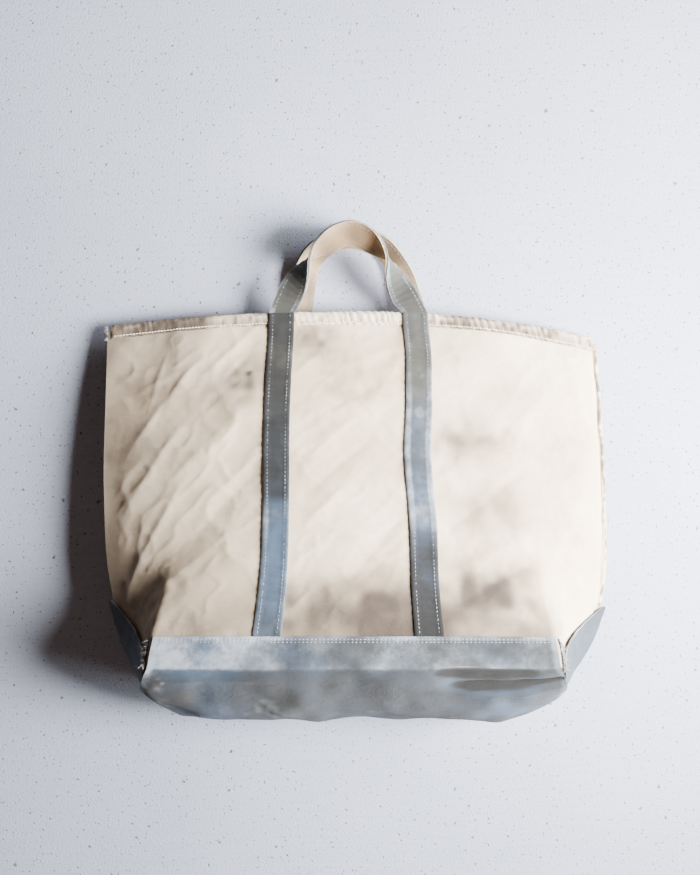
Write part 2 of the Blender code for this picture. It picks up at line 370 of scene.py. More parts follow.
@dataclass(frozen=True)
class Skin:
    """The worn surface of the cloth: the bag's shape with its folds, which every layer on it follows."""

    shape: BagShape

    def front_rise(self, across: Array, up: Array) -> Array:
        """How far folds and slackness lift the front wall off its smooth shape."""
        x = across * self.shape.top_width / 2
        y = up * self.shape.wall_height
        rise = 0.66 * sum(c.rise(x, y) for c in FRONT_CREASES)
        u, v = x * 0.76 + y * 0.65, -x * 0.65 + y * 0.76
        left = smooth((-0.02 - x) / 0.16)
        rise = rise + 0.0018 * speckle(u * 0.5, v, 0.042, 3)
        rise = rise + (0.0009 + 0.0008 * left) * crumple(u * 0.6, v, 0.036, 4)
        rise = rise + (0.0005 + 0.0005 * left) * crumple(u * 0.8, v, 0.016, 5)
        rise = rise + 0.00022 * crumple(x, y, 0.0075, 6)
        near_strap = np.zeros_like(x)
        for side in Side:
            d = np.abs(across - self.shape.strap_middle(side)) * self.shape.top_width / 2
            near_strap = np.maximum(near_strap, 1 - smooth((d - 0.012) / 0.016))
        calm = smooth(up / 0.10) * smooth((1.01 - up) / 0.07) * smooth((1.0 - np.abs(across)) / 0.10)
        inside = (1 - across) * self.shape.top_width / 2
        wander = 0.0012 * speckle(y, y * 0, 0.022, 7)
        pinch = -0.0022 * np.exp(-((inside - 0.0048 - wander) / 0.0017) ** 2) * smooth((up - 0.05) / 0.1)
        return rise * calm * (1 - 0.62 * near_strap) + pinch

    def back_rise(self, across: Array, up: Array) -> Array:
        """How far the back wall lifts off the floor: a little slackness, only inwards."""
        x, y = across * self.shape.top_width / 2, up * self.shape.wall_height
        rise = 0.0022 * (speckle(x, y, 0.05, 8) + 1) + 0.0007 * speckle(x, y, 0.018, 9)
        calm = smooth(up / 0.12) * smooth((1.0 - up) / 0.10) * smooth((1.0 - np.abs(across)) / 0.15)
        return -np.maximum(rise, 0) * calm

    def base_rise(self, across: Array, down: Array) -> Array:
        """How far folds and dents move the base off its smooth shape."""
        x, y = across * self.shape.base_width / 2, down * 0.165
        rise = sum(c.rise(x, y) for c in BASE_CREASES)
        rise = rise + 0.0024 * speckle(x, y * 1.5, 0.045, 12) + 0.0009 * speckle(x, y, 0.016, 13)
        calm = smooth((down + 0.02) / 0.04) * smooth((1 - down) / 0.10)
        return rise * calm * smooth((1.03 - np.abs(across)) / 0.07)

    def lift(self, surface: Callable, outward: Array, a: Array, b: Array, off: Array | float) -> Array:
        """The surface's points moved off it along its own normals.

        Args:
            surface: gives points from two coordinates.
            outward: a direction on the side to move to.
            a: the first coordinate.
            b: the second coordinate.
            off: how far to move.

        Returns:
            The moved points.
        """
        step = 0.008
        along = surface(a + step, b) - surface(a - step, b)
        upward = surface(a, np.minimum(b + step, 1)) - surface(a, np.maximum(b - step, 0))
        normal = unit(np.cross(along, upward))
        facing = np.sign(normal @ np.asarray(outward, float))[..., None]
        return surface(a, b) + normal * facing * np.asarray(off)[..., None]

    def front(self, across: Array, up: Array, off: Array | float = 0.0) -> Array:
        """Points of the front wall, a distance off its inner face."""
        across, up = np.broadcast_arrays(np.asarray(across, float), np.asarray(up, float))
        off = self.front_rise(across, up) + off
        return self.lift(lambda s, v: self.shape.wall(Wall.FRONT, np.clip(s, -1, 1), v), (0, 0, 1),
                         across, up, off)

    def back(self, across: Array, up: Array, off: Array | float = 0.0) -> Array:
        """Points of the back wall, a distance off its inner face."""
        across, up = np.broadcast_arrays(np.asarray(across, float), np.asarray(up, float))
        off = self.back_rise(across, up) + off
        return self.lift(lambda s, v: self.shape.wall(Wall.BACK, np.clip(s, -1, 1), v), (0, 0, -1),
                         across, up, off)

    def base(self, across: Array, down: Array, off: Array | float = 0.0) -> Array:
        """Points of the base, a distance off its inner face."""
        across, down = np.broadcast_arrays(np.asarray(across, float), np.asarray(down, float))
        off = self.base_rise(across, down) + off
        return self.lift(self.shape.base, (0, -1, 0.2), across, down, off)

    def side(self, side: Side, turn: Array, up: Array, off: Array | float = 0.0) -> Array:
        """Points of a side face. turn runs from -1, where it meets the back, to 1, where it meets the front."""
        turn, up = np.broadcast_arrays(np.asarray(turn, float), np.asarray(up, float))
        across = side.value * (1 - np.abs(turn) * (1 - self.shape.fold))
        point = np.where((turn >= 0)[..., None], self.shape.wall(Wall.FRONT, across, up),
                         self.shape.wall(Wall.BACK, across, up))
        outward = np.stack([np.full_like(turn, side.value), np.zeros_like(turn),
                            0.9 * turn * up / self.shape.ear_reach], axis=-1)
        return point + unit(outward) * np.asarray(off)[..., None]


# ---------------------------------------------------------------- finishes


class Value:
    """A shader socket that Python arithmetic works on. Each operator adds one Math node."""

    def __init__(self, bench: "Bench", socket: bpy.types.NodeSocket) -> None:
        """Wraps a node's output socket."""
        self.bench, self.socket = bench, socket

    def _math(self, operation: str, a: "Value | float", b: "Value | float") -> "Value":
        """A Math node on two values."""
        return self.bench.node("ShaderNodeMath", {"operation": operation}, {0: a, 1: b})

    def __add__(self, other: "Value | float") -> "Value":
        """self + other."""
        return self._math("ADD", self, other)

    __radd__ = __add__

    def __sub__(self, other: "Value | float") -> "Value":
        """self - other."""
        return self._math("SUBTRACT", self, other)

    def __rsub__(self, other: float) -> "Value":
        """other - self."""
        return self._math("SUBTRACT", other, self)

    def __mul__(self, other: "Value | float") -> "Value":
        """self * other."""
        return self._math("MULTIPLY", self, other)

    __rmul__ = __mul__

    def __pow__(self, other: "Value | float") -> "Value":
        """self to a power."""
        return self._math("POWER", self, other)

    def held(self) -> "Value":
        """The value kept between 0 and 1."""
        return self.bench.node("ShaderNodeClamp", {}, {"Value": self})

    def sine(self) -> "Value":
        """The sine of the value."""
        return self.bench.node("ShaderNodeMath", {"operation": "SINE"}, {0: self})

    def between(self, low: float, high: float) -> "Value":
        """Eased from 0 at low to 1 at high."""
        return self.bench.node("ShaderNodeMapRange", {"interpolation_type": "SMOOTHSTEP"},
                               {"Value": self, "From Min": low, "From Max": high})


class Bench:
    """One material's node tree, with the single method that makes its nodes."""

    def __init__(self, name: str) -> None:
        """Makes the material and finds its shader."""
        self.material = bpy.data.materials.new(name)
        self.material.use_nodes = True
        self.tree = self.material.node_tree
        self.shader = self.tree.nodes["Principled BSDF"]

    def node(self, kind: str, settings: dict | None = None, inputs: dict | None = None,
             out: int | str = 0) -> Value:
        """Adds a node.

        Args:
            kind: the node's type.
            settings: its properties, set first; "stops" gives a colour ramp's stops.
            inputs: values or links of its sockets, by name or number.
            out: which output to return.

        Returns:
            The output, ready for arithmetic.
        """
        made = self.tree.nodes.new(kind)
        for key, value in (settings or {}).items():
            if key == "stops":
                ramp = made.color_ramp
                while len(ramp.elements) < len(value):
                    ramp.elements.new(0.5)
                for element, (at, colour) in zip(ramp.elements, value):
                    element.position, element.color = at, colour
            else:
                setattr(made, key, value)
        for key, value in (inputs or {}).items():
            if isinstance(value, Value):
                self.tree.links.new(value.socket, made.inputs[key])
            else:
                made.inputs[key].default_value = value
        return Value(self, made.outputs[out])

    def feed(self, socket: str, value: Value) -> None:
        """Links a value to the shader."""
        self.tree.links.new(value.socket, self.shader.inputs[socket])

    def mix(self, share: Value | float, a: "Value | tuple", b: "Value | tuple", blend: str = "MIX") -> Value:
        """Mixes two colours."""
        return self.node("ShaderNodeMix", {"data_type": "RGBA", "blend_type": blend, "clamp_factor": True},
                         {0: share, 6: a, 7: b}, out=2)

    def mark(self, name: str) -> Value:
        """One of the piece's own attributes."""
        return self.node("ShaderNodeAttribute", {"attribute_name": name}, out="Fac")

    def noise(self, place: Value, scale: float, detail: float = 3.0, rough: float = 0.55) -> Value:
        """Noise from about 0 to 1."""
        return self.node("ShaderNodeTexNoise", {}, {"Vector": place, "Scale": scale, "Detail": detail,
                                                    "Roughness": rough})

    def bump(self, height: Value, strength: float, distance: float) -> Value:
        """A normal that makes a height show as relief."""
        return self.node("ShaderNodeBump", {}, {"Strength": strength, "Distance": distance, "Height": height},
                         out="Normal")

    def stretched(self, place: Value, turn: float, size: tuple) -> Value:
        """Coordinates turned about Z and scaled, for streaks that run one way."""
        return self.node("ShaderNodeMapping", {}, {"Vector": place, "Rotation": (0, 0, turn), "Scale": size})


def rgba(colour: tuple) -> tuple:
    """A colour with full alpha."""
    return (*colour, 1.0)


@dataclass(frozen=True)
class CanvasFinish:
    """Washed, stained and rubbed cotton canvas.

    The pieces carry three marks: worn, where the cloth is rubbed pale; a darkening mark, where it is soiled and
    also carries painted shade;
    and faded, which shifts a dyed cloth towards its second shade.
    """

    name: str
    cloth: tuple
    shade: tuple
    second: tuple
    stain: tuple
    worn: tuple
    soil_and_shade: tuple
    thread_pitch: float = 0.00115
    stain_from: float = 0.54
    stain_share: float = 0.5
    mottle: float = 0.5
    weave_depth: float = 0.00022

    def make(self) -> bpy.types.Material:
        """Builds the material."""
        bench = Bench(self.name)
        place = bench.node("ShaderNodeTexCoord", out="Object")
        flat = bench.node("ShaderNodeUVMap", {"uv_map": "flat"})
        parts = bench.node("ShaderNodeSeparateXYZ", {}, {0: flat})
        along = parts
        up = Value(bench, parts.socket.node.outputs[1])
        turns = 2 * math.pi / self.thread_pitch
        weave = (along * turns).sine() * (up * turns).sine()
        slub = bench.noise(bench.stretched(flat, 0, (900, 260, 1)), 1.0, 2)
        streaks = bench.noise(bench.stretched(place, math.radians(-40), (7, 17, 12)), 1.0, 4)
        clouds = bench.noise(place, 7.5, 5, 0.6)
        blotches = bench.noise(place, 21, 5, 0.62)
        fine = bench.noise(place, 150, 3)
        tone = streaks * 0.45 + clouds * 0.55
        colour = bench.mix(tone.between(0.38, 0.62) * self.mottle, rgba(self.cloth), rgba(self.shade))
        colour = bench.mix(bench.mark("faded"), colour, rgba(self.second))
        stains = (clouds * 0.55 + blotches * 0.45).between(self.stain_from, self.stain_from + 0.12)
        colour = bench.mix(stains * self.stain_share, colour, rgba(self.stain))
        rubbed = bench.mark("worn") * (blotches * 0.6 + fine * 0.7)
        colour = bench.mix(rubbed.between(0.18, 0.75), colour, rgba(self.worn))
        # the darkening mark mixes both dirt and painted shade towards the dark colour
        soiled = 1 - (1 - (bench.mark("soiled") * (0.35 + clouds * 0.6 + blotches * 0.7)).held()) ** 2.4
        colour = bench.mix(soiled, colour, rgba(self.soil_and_shade))
        specks = bench.noise(place, 330, 2).between(0.70, 0.78) * blotches.between(0.46, 0.62)
        colour = bench.mix(specks * 0.30, colour, rgba(self.soil_and_shade))
        grain = weave * 0.035 + slub * 0.12 + fine * 0.10 + 0.885
        grey = bench.node("ShaderNodeCombineColor", {}, {0: grain, 1: grain, 2: grain})
        bench.feed("Base Color", bench.mix(1.0, colour, grey, "MULTIPLY"))
        bench.feed("Roughness", 0.80 + fine * 0.14)
        bench.shader.inputs["Specular IOR Level"].default_value = 0.22
        bench.shader.inputs["Sheen Weight"].default_value = 0.12
        bench.shader.inputs["Sheen Roughness"].default_value = 0.6
        crumple = bench.noise(bench.stretched(place, math.radians(35), (48, 95, 70)), 1.0, 3)
        crinkle = bench.noise(bench.stretched(place, math.radians(50), (130, 230, 160)), 1.0, 2)
        threads = weave * self.weave_depth + slub * 0.00016
        height = threads + crumple * 0.0015 + crinkle * 0.00045 + fine * 0.00018
        bench.feed("Normal", bench.bump(height, 0.9, 1.0))
        return bench.material


@dataclass(frozen=True)
class ThreadFinish:
    """Sewing thread or loose fibre."""

    name: str
    colour: tuple
    dark: tuple

    def make(self) -> bpy.types.Material:
        """Builds the material."""
        bench = Bench(self.name)
        place = bench.node("ShaderNodeTexCoord", out="Object")
        darkening = bench.noise(place, 60, 3).between(0.40, 0.66)
        twist = bench.noise(bench.stretched(place, 0.6, (1800, 600, 900)), 1.0, 1)
        colour = bench.mix(darkening * 0.7, rgba(self.colour), rgba(self.dark))
        bench.feed("Base Color", bench.mix(twist * 0.35, colour, rgba(self.dark)))
        bench.feed("Roughness", 0.7 + twist * 0.2)
        bench.feed("Normal", bench.bump(twist, 0.5, 0.0003))
        return bench.material


@dataclass(frozen=True)
class FloorFinish:
    """A plain pale floor with a faint grain."""

    name: str = "pale_floor"
    colour: tuple = (0.450, 0.492, 0.605)
    dark: tuple = (0.320, 0.350, 0.440)
    pit: tuple = (0.12, 0.115, 0.115)

    def make(self) -> bpy.types.Material:
        """Builds the material."""
        bench = Bench(self.name)
        place = bench.node("ShaderNodeTexCoord", out="Object")
        clouds = bench.noise(place, 3.0, 4)
        grit = bench.noise(place, 420, 3)
        pits = bench.noise(place, 260, 1).between(0.675, 0.715) + bench.noise(place, 95, 1).between(0.74, 0.77)
        brushed = bench.noise(bench.stretched(place, 0, (12, 260, 1)), 1.0, 2)
        colour = bench.mix(clouds.between(0.35, 0.7) * 0.35, rgba(self.colour), rgba(self.dark))
        colour = bench.mix((grit * 0.6 + brushed * 0.4).between(0.45, 0.72) * 0.45, colour, rgba(self.dark))
        colour = bench.mix((pits * 0.8).held(), colour, rgba(self.pit))
        bench.feed("Base Color", colour)
        bench.shader.inputs["Roughness"].default_value = 0.75
        height = grit * 0.00060 + brushed * 0.00022 - pits * 0.0006
        bench.feed("Normal", bench.bump(height, 0.8, 1.0))
        return bench.material


# each finish's darkest colour stands for both dirt and painted shade
NATURAL = CanvasFinish(
    "natural_canvas", cloth=(0.93, 0.765, 0.555), shade=(0.62, 0.460, 0.300), second=(0.52, 0.41, 0.30),
    stain=(0.36, 0.255, 0.165), worn=(0.95, 0.87, 0.74), soil_and_shade=(0.085, 0.062, 0.045), stain_share=0.46,
    mottle=0.55)
BLUE = CanvasFinish(
    "worn_blue_canvas", cloth=(0.074, 0.118, 0.188), shade=(0.030, 0.043, 0.062), second=(0.082, 0.080, 0.064),
    stain=(0.100, 0.074, 0.052), worn=(0.33, 0.37, 0.42), soil_and_shade=(0.012, 0.012, 0.012), stain_from=0.58,
    stain_share=0.5, mottle=0.85)
LINING = CanvasFinish(
    "handle_lining_canvas", cloth=(0.43, 0.27, 0.130), shade=(0.28, 0.17, 0.085), second=(0.66, 0.53, 0.38),
    stain=(0.20, 0.13, 0.07), worn=(0.72, 0.62, 0.48), soil_and_shade=(0.11, 0.07, 0.04), stain_share=0.4, mottle=0.6)
STRAP_THREAD = ThreadFinish("strap_thread", (0.34, 0.36, 0.37), (0.10, 0.11, 0.12))
HEM_THREAD = ThreadFinish("hem_thread", (0.94, 0.79, 0.66), (0.62, 0.45, 0.34))
FRAY = ThreadFinish("frayed_fibre", (0.80, 0.77, 0.71), (0.42, 0.39, 0.35))


# ---------------------------------------------------------------- pieces

MARKS = ("worn", "soiled", "faded")
# where a piece's middle and foot lie on the flat cloth that its weave is drawn on
FLAT_X = 0.4
FLAT_Y = 0.1
# how far from a strap's edge its stitching runs
ROW_INSET = 0.0042


@dataclass
class Workroom:
    """Makes finished mesh pieces and keeps their materials."""

    shape: BagShape
    skin: Skin
    finishes: dict = field(default_factory=dict)

    def finish(self, finish: CanvasFinish | ThreadFinish | FloorFinish) -> bpy.types.Material:
        """The material of a finish, made once."""
        if finish.name not in self.finishes:
            self.finishes[finish.name] = finish.make()
        return self.finishes[finish.name]

    def piece(self, name: str, points: Array, faces: list,
              finish: CanvasFinish | ThreadFinish) -> bpy.types.Object:
        """A new object from points and faces, with its material."""
        mesh = bpy.data.meshes.new(name)
        mesh.from_pydata(np.asarray(points).reshape(-1, 3).tolist(), [], faces)
        mesh.materials.append(self.finish(finish))
        made = bpy.data.objects.new(name, mesh)
        bpy.context.scene.collection.objects.link(made)
        return made

    def cloth(self, name: str, points: Array, outward_flip: bool, thickness: float, finish: CanvasFinish,
              flat: tuple[Array, Array], marks: dict[str, Array] | None = None) -> bpy.types.Object:
        """A layer of cloth from a grid of its inner face, thickened outwards.

        Args:
            name: the piece's name.
            points: the grid, rows by columns by 3.
            outward_flip: turns the faces over, where rows and columns would make them point inwards.
            thickness: the cloth's thickness.
            finish: its finish.
            flat: the flat cloth's coordinates in metres, each rows by columns.
            marks: the worn, soiled and faded marks, each rows by columns.

        Returns:
            The object, its thickness applied and smooth shaded.
        """
        rows, columns = points.shape[:2]
        index = np.arange(rows * columns).reshape(rows, columns)
        quads = np.stack([index[:-1, :-1], index[:-1, 1:], index[1:, 1:], index[1:, :-1]], axis=-1)
        quads = quads.reshape(-1, 4)
        if outward_flip:
            quads = quads[:, ::-1]
        made = self.piece(name, points, quads.tolist(), finish)
        self.dress(made, (rows, columns), flat, marks or {})
        thicken = made.modifiers.new("canvas", "SOLIDIFY")
        thicken.thickness, thicken.offset, thicken.use_even_offset = thickness, 1, False
        self.apply(made)
        return made

    def roll(self, name: str, grid: Array, outward_flip: bool, finish: CanvasFinish, flat: tuple[Array, Array],
             marks: dict[str, Array]) -> bpy.types.Object:
        """A closed roll of cloth, capped at both ends.

        Args:
            name: the piece's name.
            grid: its points, one row for each step round it and one column for each along it.
            outward_flip: turns the faces over, where the grid would make them point inwards.
            finish: its finish.
            flat: the flat cloth's coordinates in metres.
            marks: the worn, soiled and faded marks.

        Returns:
            The object, smooth shaded.
        """
        around, count = grid.shape[:2]
        index = np.arange(around * count).reshape(around, count)
        after = np.roll(index, -1, axis=0)
        quads = np.stack([index[:, :-1], after[:, :-1], after[:, 1:], index[:, 1:]], axis=-1).reshape(-1, 4)
        faces = quads.tolist() + [index[:, 0].tolist(), index[::-1, -1].tolist()]
        if outward_flip:
            faces = [face[::-1] for face in faces]
        made = self.piece(name, grid, faces, finish)
        self.dress(made, (around, count), flat, marks)
        self.apply(made)
        return made

    def dress(self, made: bpy.types.Object, size: tuple[int, int], flat: tuple[Array, Array],
              marks: dict[str, Array]) -> None:
        """Gives a piece made from a grid its flat coordinates and its marks, 0 where none are given."""
        mesh = made.data
        layer = mesh.uv_layers.new(name="flat")
        corners = np.zeros(len(mesh.loops), np.int32)
        mesh.loops.foreach_get("vertex_index", corners)
        u, v = (np.broadcast_to(f, size).reshape(-1) for f in flat)
        layer.data.foreach_set("uv", np.stack([u[corners], v[corners]], axis=1).astype(np.float32).ravel())
        for mark in MARKS:
            values = np.broadcast_to(marks.get(mark, 0.0), size).reshape(-1)
            attribute = mesh.attributes.new(mark, "FLOAT", "POINT")
            attribute.data.foreach_set("value", np.clip(values, 0, 1).astype(np.float32))

    def apply(self, made: bpy.types.Object) -> None:
        """Applies a piece's modifiers and shades it smooth."""
        bpy.ops.object.select_all(action="DESELECT")
        bpy.context.view_layer.objects.active = made
        made.select_set(True)
        for modifier in list(made.modifiers):
            bpy.ops.object.modifier_apply(modifier=modifier.name)
        bpy.ops.object.shade_smooth_by_angle(angle=math.radians(50))
        made.select_set(False)


@dataclass
class Walls:
    """The front and back walls, each one cut of natural canvas from seam to seam."""

    room: Workroom
    columns: int = 230
    rows: int = 156
    hem_tuck: float = 0.985

    def front(self) -> bpy.types.Object:
        """The front wall."""
        shape, skin = self.room.shape, self.room.skin
        across = np.linspace(-1, 1, self.columns)[None, :]
        up = np.linspace(0.004, self.hem_tuck, self.rows)[:, None]
        across, up = np.broadcast_arrays(across, up)
        rise = skin.front_rise(across, up)
        x, y = across * shape.top_width / 2, up * shape.wall_height
        # painted shade: darker in the hollows of the folds and across the left third, the side away from the
        # light; the cloth is also darker towards the foot, except at the far right
        low = smooth((0.0006 - rise) / 0.006)
        left = smooth((-0.06 - x) / 0.24)
        soiled = 0.16 * low + 0.58 * left * (0.7 + 0.3 * speckle(x, y, 0.05, 21))
        foot = 0.40 * smooth((0.25 - up) / 0.18) * (0.65 + 0.45 * speckle(x, y, 0.03, 22))
        soiled = soiled + foot * smooth((0.25 - x) / 0.06)
        for stain in FRONT_STAINS:
            lumps = speckle(x, y, stain.size * 0.3, int(1000 * stain.size))
            soiled = soiled + stain.shade(x, y, 0.7) * (0.75 + 0.5 * lumps)
        worn = 0.5 * smooth((rise - 0.0012) / 0.003) + 0.7 * smooth((np.abs(across) - 0.985) / 0.012)
        made = self.room.cloth("front_wall_cloth", skin.front(across, up), False, shape.canvas, NATURAL,
                               (x + FLAT_X, y + FLAT_Y), {"soiled": soiled, "worn": worn})
        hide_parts("front_panel", "left_side_front", "right_side_front")
        plane = seam_plane(shape)
        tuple(plane.point)
        plane.point + plane.normal * 0.010
        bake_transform(made)
        log.info("front wall: %d faces", len(made.data.polygons))
        return made

    def back(self) -> bpy.types.Object:
        """The back wall, which lies on the floor."""
        shape, skin = self.room.shape, self.room.skin
        across = np.linspace(-1, 1, self.columns)[None, :]
        up = np.linspace(0.004, self.hem_tuck, self.rows)[:, None]
        across, up = np.broadcast_arrays(across, up)
        x, y = across * shape.top_width / 2, up * shape.wall_height
        soiled = 0.25 + 0.25 * speckle(x, y, 0.06, 31)
        made = self.room.cloth("back_wall_cloth", skin.back(across, up), True, shape.canvas, NATURAL,
                               (x + FLAT_X, y + 0.5), {"soiled": soiled})
        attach(made, "bag")
        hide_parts("back_panel", "left_side_back", "right_side_back")
        log.info("back wall: %d faces", len(made.data.polygons))
        return made


@dataclass(frozen=True)
class Plane:
    """A point and a direction."""

    point: Vector
    normal: Vector


def seam_plane(shape: BagShape) -> Plane:
    """The plane through the two side seams."""
    low = (shape.seam(Side.LEFT, np.array(0.25)) + shape.seam(Side.RIGHT, np.array(0.25))) / 2
    high = (shape.seam(Side.LEFT, np.array(1.0)) + shape.seam(Side.RIGHT, np.array(1.0))) / 2
    run = Vector(high) - Vector(low)
    normal = Vector((1, 0, 0)).cross(run).normalized()
    return Plane(Vector(low) + Vector((0, 0, 0.001)), normal)


@dataclass
class Hem:
    """A wall's top edge, turned over twice and stitched: a flattened, puckered roll."""

    room: Workroom
    wall: Wall
    reach: float = 0.982
    height: float = 0.0155
    thick: float = 0.0036
    stations: int = 620
    around: int = 22

    def point(self, across: Array, height: Array, off: Array) -> Array:
        """A point at a distance above the hem's lower edge, and off the wall's inner face."""
        shape, skin = self.room.shape, self.room.skin
        up = shape.hem_reach + height / shape.wall_height
        over = np.maximum(0, up - 1.0) * shape.wall_height
        face = skin.front if self.wall is Wall.FRONT else skin.back
        base = face(across, np.minimum(up, 1.0), off)
        before = face(across, np.minimum(up, 1.0) - 0.02, off)
        return base + unit(base - before) * over[..., None]

    def build(self) -> bpy.types.Object:
        """Makes the roll."""
        shape = self.room.shape
        front = self.wall is Wall.FRONT
        across = np.linspace(-self.reach, self.reach, self.stations)[None, :]
        turn = np.linspace(0, 2 * math.pi, self.around, endpoint=False)[:, None]
        x = across * shape.top_width / 2
        slant = 0.0035 * np.cos(turn)
        pucker = np.sin((x + slant) * 2 * math.pi / 0.0078 + 2.6 * speckle(x, x * 0, 0.016, 41))
        pucker = pucker * (0.75 + 0.6 * speckle(x, x * 0, 0.03, 42))
        lumps = speckle(x, turn * 0.01, 0.0045, 43)
        cx, cz = np.cos(turn), np.sin(turn)
        half_h, half_t = self.height / 2, self.thick / 2
        edge = np.sign(cx) * np.abs(cx) ** 0.55
        face = np.sign(cz) * np.abs(cz) ** 0.75
        swell = 1 + 0.22 * pucker * np.abs(face) + 0.16 * lumps
        groove = 0.0010 * np.exp(-(((edge * half_h + half_h) - 0.0032) / 0.0011) ** 2) * (face > 0)
        waver = 0.0005 * speckle(x, turn * 0, 0.012, 44) * (edge > 0)
        high = half_h + edge * half_h * (1 + 0.05 * pucker) + waver
        centre_off = 0.0016 if front else 0.0004
        off = centre_off + face * half_t * swell - groove
        ends = smooth((self.reach - np.abs(across)) / 0.012)
        off = centre_off + (off - centre_off) * (0.45 + 0.55 * ends)
        grid = self.point(np.broadcast_to(across, off.shape), high, off)
        nubs = smooth((lumps - 0.15) / 0.4) * smooth((edge + 0.5) / 0.8)
        # painted shade: darker in the hollows between lumps and puckers, along a line just above the row of
        # stitches, and towards the left end, away from the light; the speckle is dirt, and the hem is paler
        # between the strap legs
        under = np.exp(-(((edge * half_h + half_h) - 0.0044) / 0.0010) ** 2)
        darkening = 0.18 + 0.30 * smooth((-lumps - 0.0) / 0.5) + 0.30 * smooth((-0.06 - x) / 0.16)
        darkening = darkening + 0.24 * smooth((-pucker - 0.2) / 0.8) + 0.28 * under
        darkening = darkening + 0.22 * speckle(x, edge * 0.004, 0.03, 45)
        darkening = darkening - 0.55 * smooth((0.075 - np.abs(x)) / 0.02)
        worn = 0.95 * nubs + 0.6 * smooth((0.075 - np.abs(x)) / 0.02)
        name = f"{self.wall.value}_hem_roll"
        made = self.room.roll(name, grid, front, NATURAL, (x + FLAT_X, turn * self.height / math.pi),
                              {"worn": worn, "soiled": darkening})
        if front:
            plane = seam_plane(shape)
            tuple(plane.point)
            plane.point + plane.normal * 0.010
            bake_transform(made)
            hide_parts("front_hem")
        else:
            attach(made, "bag")
            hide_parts("back_hem")
        log.info("%s: %d faces", name, len(made.data.polygons))
        return made


